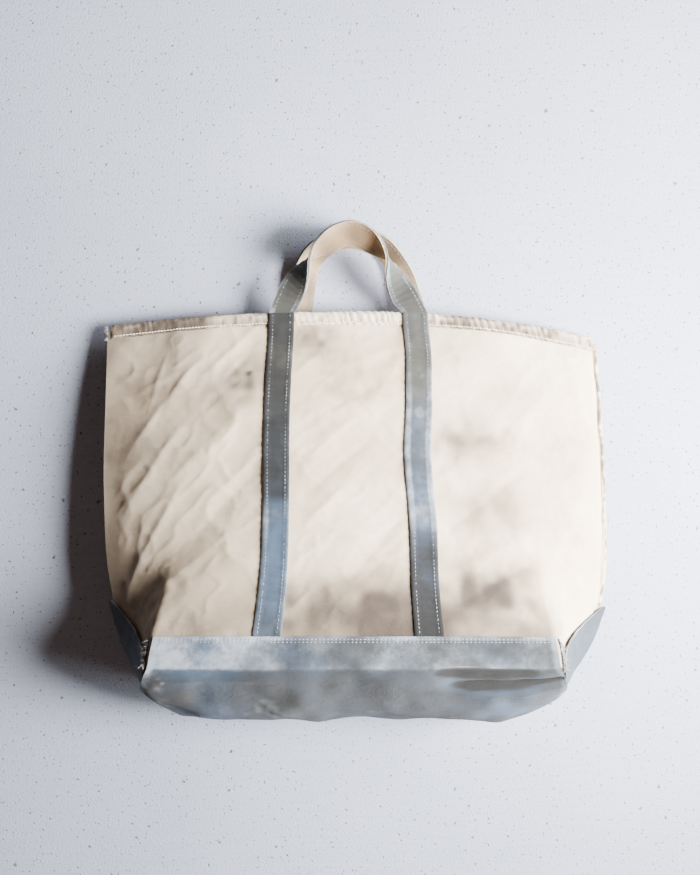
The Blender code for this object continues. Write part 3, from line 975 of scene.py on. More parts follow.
@dataclass
class BottomBand:
    """The coloured band in one cloth: down the front wall's foot, round the base and up the back wall."""

    room: Workroom
    columns: int = 190
    rows_front: int = 20
    rows_base: int = 84
    rows_back: int = 14
    off: float = 0.0017
    cover: float = 0.702
    corner_spread: float = 0.026
    depth: float = 0.165
    run: float = 0.178
    front_run: float = 0.030

    def point(self, x_share: Array, way: Array, off: float) -> Array:
        """A point of the band. way runs 0 to 1 down the front, 1 to 2 round the base, 2 to 3 up the back."""
        shape, skin = self.room.shape, self.room.skin
        x_share, way = np.broadcast_arrays(x_share, way)
        reach = shape.band_reach
        front = skin.front(x_share * self.cover, reach * (1 - np.clip(way, 0, 1)), off)
        down = np.clip(way - 1, 0, 1)
        base = skin.base(x_share * 0.992, down, off)
        base[..., 0] = base[..., 0] * (1 + self.corner_spread * np.exp(-((down - 0.22) / 0.24) ** 2))
        back = skin.back(x_share * self.cover, reach * np.clip(way - 2, 0, 1), np.full(way.shape, off))
        way = way[..., None]
        return np.where(way < 1, front, np.where(way < 2, base, back))

    def build(self) -> bpy.types.Object:
        """Makes the band."""
        shape, skin = self.room.shape, self.room.skin
        x_share = np.linspace(-1, 1, self.columns)[None, :]
        way = np.concatenate([np.linspace(0, 0.93, self.rows_front),
                              1 + np.linspace(0.012, 0.988, self.rows_base),
                              2 + np.linspace(0.07, 1, self.rows_back)])[:, None]
        x_share, way = np.broadcast_arrays(x_share, way)
        grid = self.point(x_share, way, self.off)
        grid = self.soften(grid, self.rows_front, 3)
        grid = self.soften(grid, self.rows_front + self.rows_base, 3)
        x = x_share * shape.base_width / 2
        front_run, depth = self.front_run, self.depth
        flat_y = np.where(way < 1, way * front_run, np.where(way < 2, front_run + (way - 1) * depth,
                                                            front_run + depth + (way - 2) * front_run))
        rise = np.where((way >= 1) & (way < 2), skin.base_rise(x_share, np.clip(way - 1, 0, 1)), 0)
        edge_near = np.exp(-((way - 1.0) / 0.10) ** 2)
        turned = smooth((0.16 - way) / 0.05)
        on_front = smooth((1.06 - way) / 0.14)
        worn = 0.34 * edge_near * (0.6 + 0.5 * speckle(x, flat_y, 0.02, 51)) + 0.38 * turned
        bleached = 0.54 + 0.42 * smooth((0.06 - x) / 0.12)
        worn = worn + bleached * on_front * (0.8 + 0.5 * speckle(x, flat_y, 0.03, 50))
        worn = worn + 0.40 * smooth((rise - 0.0024) / 0.003)
        worn = worn + 0.75 * smooth((np.abs(x_share) - 0.955) / 0.04)
        for scuff in BASE_SCUFFS:
            lumps = speckle(x, flat_y, scuff.size * 0.5, int(3000 * scuff.size))
            worn = worn + scuff.shade(x, flat_y - front_run, 1.15) * (0.7 + 0.6 * lumps)
        # painted shade in the hollows of the base's folds, with speckled dirt; less on the band's front part and
        # on the left of the base, more in the middle of the base
        soiled = 0.45 * smooth((-0.003 - rise) / 0.006) + 0.26 + 0.24 * speckle(x, flat_y, 0.045, 54)
        soiled = soiled + 0.20 * speckle(x, flat_y * 1.4, 0.020, 56) - 0.14 * on_front
        middle = 0.14 * np.exp(-((x + 0.02) / 0.05) ** 2) * (1 - on_front)
        soiled = soiled - 0.16 * smooth((-0.10 - x) / 0.05) + middle
        # painted shade along the pleat on the right of the base
        for lens in PLEAT_SHADES:
            soiled = soiled + lens.shade(x, flat_y - front_run)
        faded = 0.22 + 0.50 * speckle(x, flat_y, 0.07, 55) + 0.45 * on_front * smooth((x - 0.02) / 0.10)
        made = self.room.cloth("bottom_band_cloth", grid, True, shape.canvas, BLUE,
                               (x + FLAT_X, flat_y + FLAT_Y), {"worn": worn, "soiled": soiled, "faded": faded})
        edge = Vector(np.array(shape.front_foot) - np.array(shape.centre))
        top = Vector(skin.front(np.array(0.0), np.array(shape.band_reach)))
        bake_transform(made)
        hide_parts("front_band", "base_panel", "back_band")
        log.info("bottom band: %d faces", len(made.data.polygons))
        return made

    @staticmethod
    def soften(grid: Array, row: int, reach: int) -> Array:
        """Rounds the fold at one row of the grid."""
        grid = grid.copy()
        for _ in range(4):
            low, high = row - reach, row + reach
            grid[low:high] = 0.5 * grid[low:high] + 0.25 * (grid[low - 1:high - 1] + grid[low + 1:high + 1])
        return grid

    def lining(self) -> bpy.types.Object:
        """The natural canvas under the band's base, seen inside the bag and where the band is worn through."""
        shape, skin = self.room.shape, self.room.skin
        x_share = np.linspace(-0.995, 0.995, 90)[None, :]
        down = np.linspace(0.010, 0.990, 44)[:, None]
        x_share, down = np.broadcast_arrays(x_share, down)
        flat = (x_share * shape.base_width / 2 + FLAT_X, down * self.depth + FLAT_Y)
        made = self.room.cloth("base_lining_cloth", skin.base(x_share, down, 0.0), True, shape.canvas, NATURAL,
                               flat, {"soiled": 0.35})
        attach(made, "bag")
        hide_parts("base_lining")
        log.info("base lining: %d faces", len(made.data.polygons))
        return made


@dataclass
class Corner:
    """One boxed corner: the band's side and the folded ear tacked over it."""

    room: Workroom
    side: Side

    def band(self) -> bpy.types.Object:
        """The band's part on the side face."""
        shape, skin = self.room.shape, self.room.skin
        half_depth = (shape.top_width - shape.base_width) / 2
        turn = np.linspace(-0.97, 0.97, 70)[None, :]
        up = np.linspace(0.006, shape.band_reach, 16)[:, None]
        turn, up = np.broadcast_arrays(turn, up)
        off = 0.0020 + 0.0006 * speckle(turn * 0.08, up * 0.38, 0.01, 61)
        off = off + 0.0016 * smooth((0.12 - np.abs(turn)) / 0.12)
        grid = skin.side(self.side, turn, up, off)
        worn = 0.5 * smooth((np.abs(turn) - 0.85) / 0.12) + 0.2 * speckle(turn * 0.08, up * 0.38, 0.012, 62)
        flat = (turn * half_depth + FLAT_X, up * shape.wall_height + FLAT_Y)
        made = self.room.cloth(f"{self.side.word}_side_band_cloth", grid, self.side is Side.RIGHT,
                               shape.canvas, BLUE, flat, {"worn": worn, "soiled": 0.3})
        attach(made, "bag")
        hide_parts(f"{self.side.word}_side_band")
        return made

    def ear(self) -> bpy.types.Object:
        """The folded triangle, two layers of band meeting in folds along its slanted edges."""
        shape, skin = self.room.shape, self.room.skin
        half_depth = (shape.top_width - shape.base_width) / 2
        around = np.linspace(0, 2 * math.pi, 64, endpoint=False)[:, None]
        up = np.linspace(0.008, shape.ear_reach + 0.004, 48)[None, :]
        around, up = np.broadcast_arrays(around, up)
        climb = up / (shape.ear_reach + 0.004)
        reach = 0.97 * (1 - 0.965 * climb)
        turn = np.cos(around)
        turn = np.sign(turn) * np.abs(turn) ** 0.72
        layer = np.sin(around)
        lens = np.sign(layer) * np.abs(layer) ** 0.6
        flare = 0.0014 * climb * (1 - climb) * 4
        off = 0.0054 + flare + lens * 0.0016 + 0.0009 * speckle(turn * reach * 0.08, up * 0.38, 0.012, 63)
        grid = skin.side(self.side, turn * reach, up, off)
        folds = smooth((np.abs(turn) - 0.90) / 0.10)
        worn = 0.75 * folds + 0.25 * speckle(turn * 0.08, up * 0.38, 0.02, 64) + 0.15
        flat = (turn * reach * half_depth + FLAT_X, up * shape.wall_height + FLAT_Y + 0.2 * (layer > 0))
        made = self.room.roll(f"{self.side.word}_corner_ear_cloth", grid, self.side is Side.LEFT, BLUE, flat,
                              {"worn": worn, "soiled": 0.12, "faded": 0.35})
        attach(made, "bag")
        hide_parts(f"{self.side.word}_corner_ear")
        log.info("%s ear: %d faces", self.side.word, len(made.data.polygons))
        return made


@dataclass
class SideSeam:
    """A side seam's allowance: a narrow felled ridge, a little wavy, from the band to the hem."""

    room: Workroom
    side: Side
    width: float = 0.0040

    @property
    def reach(self) -> float:
        """How far outside the seam line the ridge's middle lies: the left one is rolled under."""
        return -0.0018 if self.side is Side.RIGHT else -0.0042

    @property
    def lift(self) -> float:
        """How far above the seam line the ridge's middle lies."""
        return 0.0006 if self.side is Side.RIGHT else -0.0010

    def build(self) -> bpy.types.Object:
        """Makes the ridge."""
        shape = self.room.shape
        up = np.linspace(0.06, 0.965, 220)[None, :]
        around = np.linspace(0, 2 * math.pi, 12, endpoint=False)[:, None]
        along = up * shape.wall_height
        wave = 0.0009 * np.sin(along * 2 * math.pi / 0.052 + self.side.value)
        wave = wave + 0.0006 * speckle(along, along * 0, 0.02, 71)
        seam = shape.seam(self.side, up[0])
        out = np.zeros((around.shape[0], up.shape[1], 3))
        out[..., 0] = self.side.value * (self.reach + 0.6 * wave + np.cos(around) * self.width / 2)
        out[..., 2] = np.sin(around) * 0.0014 + self.lift
        grid = seam[None] + out
        nubs = speckle(along, along * 0, 0.004, 72)
        made = self.room.roll(f"{self.side.word}_seam_allowance", grid, self.side is Side.LEFT, NATURAL,
                              (along + FLAT_Y, around * 0.001 + FLAT_Y),
                              {"worn": 0.5 + 0.5 * nubs, "soiled": 0.25 - 0.3 * nubs})
        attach(made, "bag")
        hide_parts(f"{self.side.word}_side_seam")
        return made


@dataclass
class Strap:
    """One sewn leg of a strap, from under the band to the hem."""

    room: Workroom
    wall: Wall
    side: Side
    columns: int = 26
    rows: int = 190
    margin: float = 0.0052
    thick: float = 0.0013

    def sway(self, up: Array) -> Array:
        """How far the strap strays sideways at a height up the wall."""
        if self.wall is Wall.BACK:
            return 0 * up
        if self.side is Side.RIGHT:
            return eased(up, (0.08, 0.34, 0.585, 0.74, 0.86, 1.0),
                         (0.0018, 0.0004, -0.0042, -0.0012, -0.0002, -0.0030))
        return eased(up, (0.08, 0.34, 0.70, 1.0), (-0.0052, -0.0036, -0.0040, -0.0005))

    def painted_shade(self, up: Array) -> Array:
        """How much painted shade the strap carries at a height up the wall: the shadow of a fold low on the
        right strap, the shading of the wall higher up on the left one.
        """
        if self.side is Side.RIGHT:
            return eased(up, (0.08, 0.26, 0.42, 0.62, 0.92, 1.0), (0.86, 0.76, 0.06, 0.00, 0.10, 0.16))
        return eased(up, (0.08, 0.38, 0.56, 0.90, 1.0), (0.08, 0.18, 0.58, 0.60, 0.50))

    def rub(self, up: Array) -> Array:
        """How rubbed the strap is at a height up the wall."""
        if self.side is Side.RIGHT:
            return eased(up, (0.26, 0.44, 0.64, 0.84), (0.0, 0.46, 0.36, 0.08))
        return 0 * up

    def place(self, share: Array, up: Array, off: Array | float) -> Array:
        """A point of the strap. share runs from -1 to 1 across it."""
        shape, skin = self.room.shape, self.room.skin
        share, up = np.broadcast_arrays(np.asarray(share, float), np.asarray(up, float))
        x = share * shape.strap_width / 2 + self.sway(up)
        across = shape.strap_middle(self.side) + x / (shape.top_width / 2)
        if self.wall is Wall.BACK:
            return skin.back(across, up, off)
        over_hem = 0.0019 * smooth((up - 0.940) / 0.02)
        return skin.front(across, up, off + over_hem)

    def build(self) -> bpy.types.Object:
        """Makes the strap."""
        shape = self.room.shape
        share = np.linspace(-1, 1, self.columns)[None, :]
        up = np.linspace(shape.band_reach - 0.012, 1.002, self.rows)[:, None]
        share, up = np.broadcast_arrays(share, up)
        along = up * shape.wall_height
        from_edge = (1 - np.abs(share)) * shape.strap_width / 2
        turned = 1 - smooth((from_edge - self.margin) / 0.0012)
        pull = np.exp(-((from_edge - ROW_INSET) / 0.0011) ** 2)
        ripple = 0.00022 * np.sin(along * 2 * math.pi / 0.0084 + share)
        ripple = ripple + 0.0004 * speckle(share * 0.014, along, 0.016, 81)
        rounded = -0.0005 * smooth((0.0016 - from_edge) / 0.0016)
        thin = 0.0017 if self.wall is Wall.FRONT else 0.0012
        off = thin + 0.00045 * turned - 0.00035 * pull + ripple + rounded
        if self.wall is Wall.BACK:
            off = np.minimum(off, 0.0016)
        off = off - 0.0008 * smooth((shape.band_reach + 0.004 - up) / 0.010)
        grid = self.place(share, up, off)
        faded = 0.95 * smooth((up - 0.30) / 0.60) + 0.20 * speckle(share * 0.014, along, 0.03, 82)
        worn = 0.42 * turned + 0.30 * smooth((0.0014 - from_edge) / 0.0014)
        worn = worn + 0.35 * smooth((speckle(share * 0.014, along, 0.022, 83) - 0.35) / 0.4) + self.rub(up)
        # painted shade along the strap, with speckled dirt; darker along its left edge
        soiled = self.painted_shade(up) + 0.22 * speckle(share * 0.010, along, 0.030, 84 + self.side.value)
        soiled = soiled + 0.14 * speckle(share * 0.014, along, 0.011, 87 + self.side.value)
        soiled = soiled + 0.35 * np.exp(-((share + 0.99) / 0.05) ** 2)
        made = self.room.cloth(f"{self.wall.value}_strap_{self.side.word}_cloth", grid, self.wall is Wall.BACK,
                               self.thick, BLUE, (share * shape.strap_width / 2 + FLAT_X, along + FLAT_Y),
                               {"worn": worn, "soiled": soiled, "faded": faded})
        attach(made, "front_wall" if self.wall is Wall.FRONT else "bag")
        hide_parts(f"{self.wall.value}_strap_{self.side.word}")
        return made


@dataclass
class Handle:
    """One handle: a strap that runs from leg to leg, lined with natural canvas on its inner face."""

    room: Workroom
    wall: Wall
    route: tuple
    twist: float
    stations: int = 260
    columns: int = 22
    thick: float = 0.0013
    margin: float = 0.0052
    skew_reach: float = 0.14

    def frames(self, t: Array) -> tuple[Array, Array, Array]:
        """The handle's middle line, its outward normal and its width direction at shares t."""
        shape = self.room.shape
        front = self.wall is Wall.FRONT
        outward = np.array([0.0, 0.0, 1.0 if front else -1.0])
        ends = []
        for side in Side:
            leg = Strap(self.room, self.wall, side)
            end = leg.place(np.array(0.0), np.array(0.998), 0.0016 if front else 0.0008)
            ends.append(end + np.array([0, 0.0004, 0]))
        middle = [tuple(np.array(p) - np.array(shape.centre)) for p in self.route]
        line = [ends[0], *middle, ends[1]]
        here = through(line, t)
        along = unit(through(line, np.clip(t + 0.004, 0, 1)) - through(line, np.clip(t - 0.004, 0, 1)))
        flat = unit(outward - along * (along @ outward)[..., None])
        lift = smooth((np.minimum(t, 1 - t) - 0.06) / 0.40)
        turn = (-math.radians(self.twist) * lift)[..., None]
        across = np.cross(along, flat * np.cos(turn) + np.cross(along, flat) * np.sin(turn))
        hem_line = np.zeros_like(across)
        hem_line[..., 0] = np.where(across[..., 0] > 0, 1, -1)
        k = smooth(np.minimum(t, 1 - t) / self.skew_reach)[..., None]
        across = unit(hem_line * (1 - k) + across * k)
        return here, unit(np.cross(across, along)), across

    def place(self, share: Array, t: Array, off: Array | float) -> Array:
        """A point of the handle, a distance off its middle surface."""
        share, t = np.broadcast_arrays(np.asarray(share, float), np.asarray(t, float))
        here, normal, across = self.frames(t)
        cup = 0.0014 * (1 - share ** 2) * smooth(np.minimum(t, 1 - t) / 0.2)
        waver = 0.0007 * speckle(t * 0.25, share * 0.01, 0.02, 91)
        width = self.room.shape.strap_width / 2 * (1 + 0.02 * speckle(t * 0.25, share * 0, 0.012, 92))
        return here + across * (share * width)[..., None] + normal * (np.asarray(off) + cup + waver)[..., None]

    def build(self) -> list[bpy.types.Object]:
        """Makes the outer strap and its lining."""
        shape = self.room.shape
        share = np.linspace(-1, 1, self.columns)[None, :]
        t = np.linspace(0, 1, self.stations)[:, None]
        share, t = np.broadcast_arrays(share, t)
        along = t * 0.27
        from_edge = (1 - np.abs(share)) * shape.strap_width / 2
        turned = 1 - smooth((from_edge - self.margin) / 0.0012)
        pull = np.exp(-((from_edge - ROW_INSET) / 0.0011) ** 2)
        ripple = 0.00022 * np.sin(along * 2 * math.pi / 0.0080 + share)
        off = 0.0002 + 0.0004 * turned - 0.0004 * pull + ripple
        worn = 0.55 * turned + 0.6 * smooth((0.0012 - from_edge) / 0.0012)
        worn = worn + 0.3 * speckle(along, share * 0.014, 0.012, 93)
        soiled = 0.18 + 0.25 * speckle(along, share * 0.014, 0.03, 94)
        flat = (share * shape.strap_width / 2 + FLAT_X, along + FLAT_Y)
        made = []
        outer = self.room.cloth(f"{self.wall.value}_handle_strap", self.place(share, t, off), False,
                                self.thick, BLUE, flat, {"worn": worn, "soiled": soiled, "faded": 0.95})
        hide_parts(f"{self.wall.value}_handle")
        made.append(outer)
        inner_off = -0.0014 - 0.0002 * turned + 0.0002 * ripple
        pale = 0.65 * (1 - smooth(np.minimum(t, 1 - t) / 0.22)) + 0.15
        if self.wall is Wall.BACK:
            pale = 0.9 * (1 - smooth(np.minimum(t, 1 - t) / 0.40)) + 0.2
        edge = smooth((0.0022 - from_edge) / 0.0022)
        handled = 0.20 + 0.35 * smooth(np.minimum(t, 1 - t) / 0.4) * speckle(along, share * 0.014, 0.02, 95)
        lining_marks = {"worn": 0.8 * edge, "soiled": handled, "faded": pale}
        inner = self.room.cloth(f"{self.wall.value}_handle_lining_strip", self.place(share, t, inner_off), False,
                                self.thick, LINING, flat, lining_marks)
        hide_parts(f"{self.wall.value}_handle_lining")
        made.append(inner)
        for piece in made:
            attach(piece, "front_grip" if self.wall is Wall.FRONT else "back_grip")
        log.info("%s handle: %d faces", self.wall.value, sum(len(p.data.polygons) for p in made))
        return made


# ---------------------------------------------------------------- thread


def rings_round(side: Array, up: Array, girth: Array, sides: int) -> Array:
    """Rings of points round the origin, for tubes by stations.

    Args:
        side: a direction across each tube at each station.
        up: the other direction across it.
        girth: the radius at each station, the same for every tube.
        sides: how many points a ring has.

    Returns:
        The points, tubes by stations by sides by 3.
    """
    angle = np.linspace(0, 2 * math.pi, sides, endpoint=False)
    return (side[:, :, None] * np.cos(angle)[None, None, :, None]
            + up[:, :, None] * np.sin(angle)[None, None, :, None]) * girth[None, :, None, None]


def tube_faces(count: int, rings: int, sides: int) -> list[tuple]:
    """The faces of many small closed tubes, whose points follow each other ring by ring."""
    faces = []
    for tube in range(count):
        base = tube * rings * sides
        for ring in range(rings - 1):
            for side in range(sides):
                a, b = base + ring * sides + side, base + ring * sides + (side + 1) % sides
                faces.append((a, b, b + sides, a + sides))
        faces.append(tuple(base + side for side in reversed(range(sides))))
        faces.append(tuple(base + (rings - 1) * sides + side for side in range(sides)))
    return faces


@dataclass
class Needle:
    """Sews rows of stitches, each stitch a small arched capsule whose ends go into the cloth."""

    room: Workroom
    pitch: float = 0.0040
    length: float = 0.0029
    radius: float = 0.00042
    rings: int = 4
    sides: int = 5

    def row(self, line: Callable[[Array], Array], normal: Callable[[Array], Array], length: float,
            seed: int) -> tuple[Array, list]:
        """One row of stitches.

        Args:
            line: points of the row at shares of its length.
            normal: the cloth's outward direction there.
            length: the row's length.
            seed: what makes its small unevenness its own.

        Returns:
            Points and faces.
        """
        count = max(2, int(length / self.pitch))
        uneven = np.random.default_rng(seed)
        centre = (np.arange(count) + 0.5 + uneven.uniform(-0.06, 0.06, count)) / count
        half = self.length / 2 / length * uneven.uniform(0.85, 1.1, count)
        steps = np.linspace(-1, 1, self.rings)
        t = np.clip(centre[:, None] + half[:, None] * steps[None, :], 0, 1)
        spot = line(t)
        up = unit(normal(t))
        before, after = line(np.clip(t - 1e-3, 0, 1)), line(np.clip(t + 1e-3, 0, 1))
        along = unit(after - before)
        side = unit(np.cross(along, up))
        arch = (1 - steps ** 2) * 0.00034 - 0.00022
        girth = self.radius * np.array([0.55, 1.0, 1.0, 0.55])
        rings = rings_round(side, up, girth, self.sides)
        points = spot[:, :, None] + up[:, :, None] * arch[None, :, None, None] + rings
        return points.reshape(-1, 3), tube_faces(count, self.rings, self.sides)

    def sew(self, name: str, rows: list[tuple[Array, list]], finish: ThreadFinish) -> bpy.types.Object:
        """Joins rows into one piece."""
        points, faces, start = [], [], 0
        for row_points, row_faces in rows:
            points.append(row_points)
            faces += [tuple(i + start for i in face) for face in row_faces]
            start += len(row_points)
        made = self.room.piece(name, np.concatenate(points), faces, finish)
        bpy.ops.object.select_all(action="DESELECT")
        bpy.context.view_layer.objects.active = made
        made.select_set(True)
        bpy.ops.object.mode_set(mode="EDIT")
        bpy.ops.mesh.select_all(action="SELECT")
        bpy.ops.mesh.normals_make_consistent(inside=False)
        bpy.ops.object.mode_set(mode="OBJECT")
        bpy.ops.object.shade_smooth()
        made.select_set(False)
        log.info("%s: %d faces", name, len(made.data.polygons))
        return made


@dataclass
class Stitching:
    """All the rows of stitching."""

    room: Workroom
    handles: dict

    def strap_rows(self, wall: Wall, side: Side) -> bpy.types.Object:
        """Two rows up each strap, one near each edge."""
        strap, needle = Strap(self.room, wall, side), Needle(self.room)
        shape = self.room.shape
        rows = []
        off = (0.0017 if wall is Wall.FRONT else 0.0012) + strap.thick
        for edge in (-1, 1):
            share = edge * (1 - ROW_INSET / (shape.strap_width / 2))

            def up(t: Array) -> Array:
                """How far up the wall the row is."""
                return shape.band_reach + 0.006 + t * (0.992 - shape.band_reach - 0.006)

            def line(t: Array, share: float = share) -> Array:
                """The row's points."""
                return strap.place(share, up(t), off)

            def normal(t: Array, share: float = share) -> Array:
                """The strap's outward direction."""
                return strap.place(share, up(t), off + 0.001) - strap.place(share, up(t), off)

            rows.append(needle.row(line, normal, 0.345, 7 + edge + side.value))
        made = needle.sew(f"{wall.value}_strap_{side.word}_stitches", rows, STRAP_THREAD)
        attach(made, "front_wall" if wall is Wall.FRONT else "bag")
        return made

    def handle_rows(self, wall: Wall) -> bpy.types.Object:
        """Two rows round each handle, on its outer face and showing on its lining."""
        handle, needle = self.handles[wall], Needle(self.room)
        rows = []
        for edge in (-0.70, 0.70):
            for face, off in ((1, 0.0013), (-1, -0.0015)):

                def line(t: Array, edge: float = edge, off: float = off) -> Array:
                    """The row's points."""
                    return handle.place(edge, 0.01 + 0.98 * t, off)

                def normal(t: Array, edge: float = edge, face: int = face) -> Array:
                    """The outward direction of this face."""
                    at = 0.01 + 0.98 * t
                    return (handle.place(edge, at, 0.001) - handle.place(edge, at, 0)) * face

                rows.append(needle.row(line, normal, 0.255, 17 + face))
        made = needle.sew(f"{wall.value}_handle_stitches", rows, STRAP_THREAD)
        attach(made, "front_grip" if wall is Wall.FRONT else "back_grip")
        return made

    def band_rows(self) -> bpy.types.Object:
        """The double row that holds the band's top edge to the front wall."""
        skin, shape = self.room.skin, self.room.shape
        needle = Needle(self.room)
        rows = []
        off = 0.0017 + shape.canvas
        for below in (0.0030, 0.0056):
            up = shape.band_reach - below / shape.wall_height

            def line(t: Array, up: float = up) -> Array:
                """The row's points."""
                return skin.front(-0.698 + 1.396 * t, np.full(np.shape(t), up), off)

            def normal(t: Array, up: float = up) -> Array:
                """The band's outward direction."""
                return skin.front(-0.698 + 1.396 * t, np.full(np.shape(t), up), off + 0.001) - line(t)

            rows.append(needle.row(line, normal, 0.394, 27 + int(below * 1e4)))
        made = needle.sew("front_band_stitches", rows, STRAP_THREAD)
        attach(made, "front_wall")
        return made

    def hem_row(self, hem: Hem) -> bpy.types.Object:
        """The hem's stitching, close stitches along its lower edge."""
        needle = Needle(self.room, pitch=0.0036, length=0.0036, radius=0.00058)
        front = hem.wall is Wall.FRONT
        off = (0.0016 if front else 0.0004) + hem.thick / 2 - 0.0002
        rows = []
        pieces = ((-0.975, -0.335), (-0.205, 0.195), (0.325, 0.975)) if front else ((-0.97, 0.97),)
        for low, high in pieces:

            def line(t: Array, low: float = low, high: float = high) -> Array:
                """The row's points."""
                height, lift = np.full(np.shape(t), 0.0024), np.full(np.shape(t), off)
                return hem.point(low + (high - low) * t, height, lift)

            def normal(t: Array, low: float = low, high: float = high) -> Array:
                """The hem's outward direction."""
                height, lift = np.full(np.shape(t), 0.0024), np.full(np.shape(t), off + 0.001)
                return hem.point(low + (high - low) * t, height, lift) - line(t)

            rows.append(needle.row(line, normal, (high - low) * 0.2825, 37 + int(10 * low)))
        made = needle.sew(f"{hem.wall.value}_hem_stitches", rows, HEM_THREAD)
        if front:
            plane = seam_plane(self.room.shape)
            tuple(plane.point)
            plane.point + plane.normal * 0.010
            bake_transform(made)
        else:
            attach(made, "bag")
        return made


@dataclass
class Fraying:
    """Loose fibres where the cloth has worn through or its edge is raw."""

    room: Workroom
    rings: int = 6
    sides: int = 4

    def fibres(self, name: str, roots: Array, ways: Array, long: float, thick: float, seed: int,
               body: str) -> bpy.types.Object:
        """A tuft of curling fibres.

        Args:
            name: the piece's name.
            roots: where each fibre starts.
            ways: the direction that each starts in.
            long: the usual length.
            thick: the usual thickness.
            seed: what makes the tuft its own.
            body: the body that it moves with.

        Returns:
            The piece.
        """
        uneven = np.random.default_rng(seed)
        count = len(roots)
        t = np.linspace(0, 1, self.rings)
        length = long * uneven.uniform(0.35, 1.3, count)
        curl = uneven.normal(0, 0.8, (count, 3))
        ways = unit(unit(ways) + uneven.normal(0, 0.35, (count, 3)))
        line = (roots[:, None] + ways[:, None] * (length[:, None] * t)[..., None]
                + curl[:, None] * (length[:, None] * t ** 2 * 0.45)[..., None])
        line[..., 2] = np.maximum(line[..., 2], 0.0008)
        along = unit(np.gradient(line, axis=1))
        side = unit(np.cross(along, np.array([0.3, 0.2, 0.93])))
        up = np.cross(side, along)
        girth = thick / 2 * (1 - 0.6 * t)
        points = (line[:, :, None] + rings_round(side, up, girth, self.sides)).reshape(-1, 3)
        made = Needle(self.room).sew(name, [(points, tube_faces(count, self.rings, self.sides))], FRAY)
        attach(made, body)
        return made

    def corner(self, side: Side) -> bpy.types.Object:
        """The tuft at a worn-through bottom corner."""
        uneven = np.random.default_rng(100 + side.value)
        count = 90
        turn = uneven.uniform(0.80, 1.0, count)
        up = uneven.uniform(0.0, 0.075, count)
        roots = self.room.skin.side(side, turn, up, np.full(count, 0.0030))
        ways = self.ways(0.7 * side.value, uneven.uniform(-0.6, 0.9, count), 0.35)
        return self.fibres(f"{side.word}_corner_fray", roots, ways, 0.0042, 0.00036, 200 + side.value, "bag")

    def hem_end(self, side: Side) -> bpy.types.Object:
        """The few fibres at a hem's end, where it meets the side seam."""
        uneven = np.random.default_rng(110 + side.value)
        count = 26
        roots = self.room.shape.seam(side, uneven.uniform(0.955, 1.0, count)) + np.array([0.0, 0.0, 0.0015])
        ways = self.ways(side.value, uneven.uniform(-0.3, 1.0, count), 0.3)
        return self.fibres(f"{side.word}_hem_end_fray", roots, ways, 0.0030, 0.0003, 210 + side.value, "bag")

    def seam_fuzz(self, side: Side) -> bpy.types.Object:
        """Short fibres along a side seam."""
        uneven = np.random.default_rng(120 + side.value)
        count = 90
        beside = np.array([side.value * SideSeam(self.room, side).reach, 0.0, 0.0006])
        roots = self.room.shape.seam(side, uneven.uniform(0.10, 0.95, count)) + beside
        ways = self.ways(side.value, uneven.uniform(-1.0, 1.0, count), 0.2)
        return self.fibres(f"{side.word}_seam_fuzz", roots, ways, 0.0013, 0.00022, 220 + side.value, "bag")

    @staticmethod
    def ways(outward: float, along: Array, upward: float) -> Array:
        """Directions that all go out and up alike, and differ along the edge."""
        return np.stack([np.full(len(along), float(outward)), along, np.full(len(along), upward)], axis=1)


# ---------------------------------------------------------------- the studio


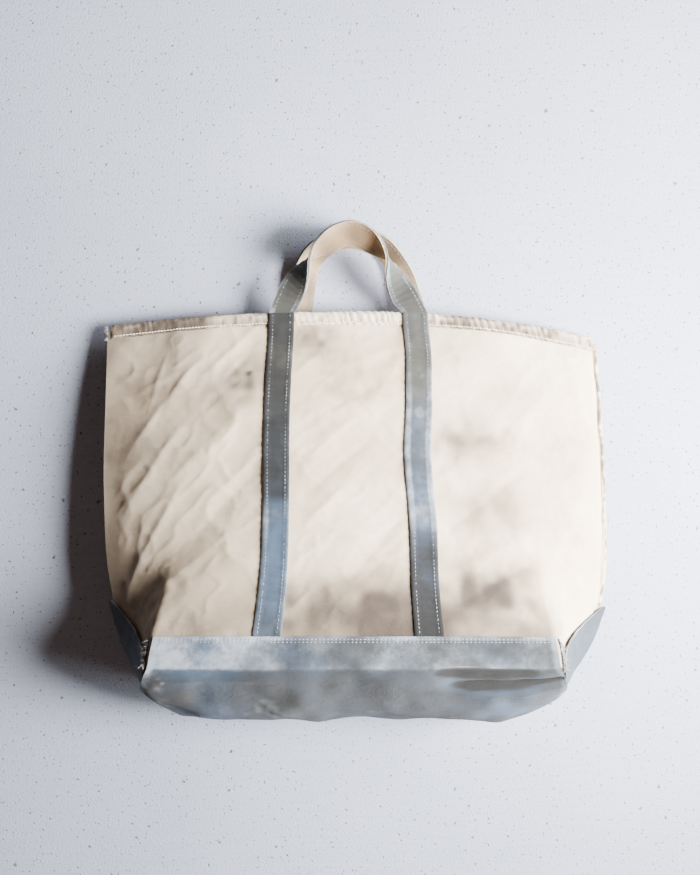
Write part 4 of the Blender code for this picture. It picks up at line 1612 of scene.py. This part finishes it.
@dataclass
class Studio:
    """The floor, the light and the camera."""

    room: Workroom
    camera_height: float = 0.93
    camera_place: tuple = (-0.0053, 0.0339)
    lens: float = 33.86
    key_energy: float = 41.0
    key_distance: float = 1.04
    key_height: float = math.radians(41)
    key_bearing: float = math.radians(-4)
    key_size: float = 0.54
    key_spread: float = math.radians(125)
    door_energy: float = 350.0
    door_place: tuple = (2.3, 0.15, 0.55)
    door_size: tuple = (2.6, 1.0)
    fill_colour: tuple = (1.0, 0.72, 0.60)
    fill_strength: float = 0.105
    floor_size: float = 8.0
    floor_gap: float = 0.0004
    aim: tuple = (0.12, 0.16, 0.0)

    def build(self) -> None:
        """Sets the stage."""
        bpy.ops.object.select_all(action="DESELECT")
        bpy.ops.mesh.primitive_plane_add(size=self.floor_size, location=(0, 0, -self.floor_gap))
        floor = bpy.context.active_object
        floor.name = "floor"
        floor.data.materials.append(self.room.finish(FloorFinish()))
        flat = self.key_distance * math.cos(self.key_height)
        place = (flat * math.cos(self.key_bearing), flat * math.sin(self.key_bearing),
                 self.key_distance * math.sin(self.key_height))
        self.window(place, self.aim)
        self.doorway()
        world = bpy.data.worlds.new("studio")
        bpy.context.scene.world = world
        world.use_nodes = True
        background = world.node_tree.nodes["Background"]
        background.inputs["Color"].default_value = rgba(self.fill_colour)
        background.inputs["Strength"].default_value = self.fill_strength
        camera = bpy.data.objects.new("camera", bpy.data.cameras.new("camera"))
        bpy.context.scene.collection.objects.link(camera)
        camera.location = (*self.camera_place, self.camera_height)
        camera.data.lens = self.lens
        camera.data.sensor_width = 36
        camera.data.clip_start = 0.01
        bpy.context.scene.camera = camera

    def window(self, place: tuple, target: tuple) -> None:
        """The main soft light, from one side, like a window."""
        light = bpy.data.lights.new("window_light", "AREA")
        light.shape, light.size, light.energy = "DISK", self.key_size, self.key_energy
        light.color, light.spread = (1.0, 0.985, 0.97), self.key_spread
        lamp = bpy.data.objects.new("window_light", light)
        bpy.context.scene.collection.objects.link(lamp)
        lamp.location = place
        lamp.rotation_euler = (Vector(target) - Vector(place)).to_track_quat("-Z", "Y").to_euler()

    def doorway(self) -> None:
        """The wide, low second light on the same side, which makes the long soft shadows."""
        light = bpy.data.lights.new("doorway_light", "AREA")
        light.shape, light.energy = "RECTANGLE", self.door_energy
        light.size, light.size_y = self.door_size
        light.color = (0.96, 0.98, 1.0)
        lamp = bpy.data.objects.new("doorway_light", light)
        bpy.context.scene.collection.objects.link(lamp)
        lamp.location = self.door_place
        lamp.rotation_euler = (-Vector(self.door_place)).to_track_quat("-Z", "Y").to_euler()


FRONT_ROUTE = ((-0.059, 0.207, 0.042), (-0.037, 0.237, 0.049), (-0.002, 0.2535, 0.051), (0.032, 0.230, 0.050),
               (0.046, 0.202, 0.043))
BACK_ROUTE = ((-0.060, 0.180, 0.007), (-0.055, 0.212, 0.010), (-0.044, 0.238, 0.012), (-0.022, 0.254, 0.013),
              (0.006, 0.257, 0.013), (0.032, 0.247, 0.013), (0.050, 0.222, 0.012), (0.060, 0.197, 0.010),
              (0.067, 0.173, 0.007))


def main() -> None:
    """Builds the whole bag, piece by piece, and the studio around it."""
    logging.basicConfig(level=logging.INFO, format="%(message)s")
    shape = BagShape()
    room = Workroom(shape, Skin(shape))
    Studio(room).build()
    walls = Walls(room)
    walls.back()
    walls.front()
    hems = {wall: Hem(room, wall) for wall in Wall}
    for hem in hems.values():
        hem.build()
    band = BottomBand(room)
    band.lining()
    band.build()
    fraying = Fraying(room)
    for side in Side:
        corner = Corner(room, side)
        corner.band()
        corner.ear()
        SideSeam(room, side).build()
        fraying.corner(side)
        fraying.hem_end(side)
        fraying.seam_fuzz(side)
    handles = {Wall.FRONT: Handle(room, Wall.FRONT, FRONT_ROUTE, 140.0),
               Wall.BACK: Handle(room, Wall.BACK, BACK_ROUTE, -50.0)}
    stitching = Stitching(room, handles)
    for wall in Wall:
        for side in Side:
            Strap(room, wall, side).build()
            stitching.strap_rows(wall, side)
        handles[wall].build()
        stitching.handle_rows(wall)
        stitching.hem_row(hems[wall])
    stitching.band_rows()


if __name__ == "__main__":
    main()
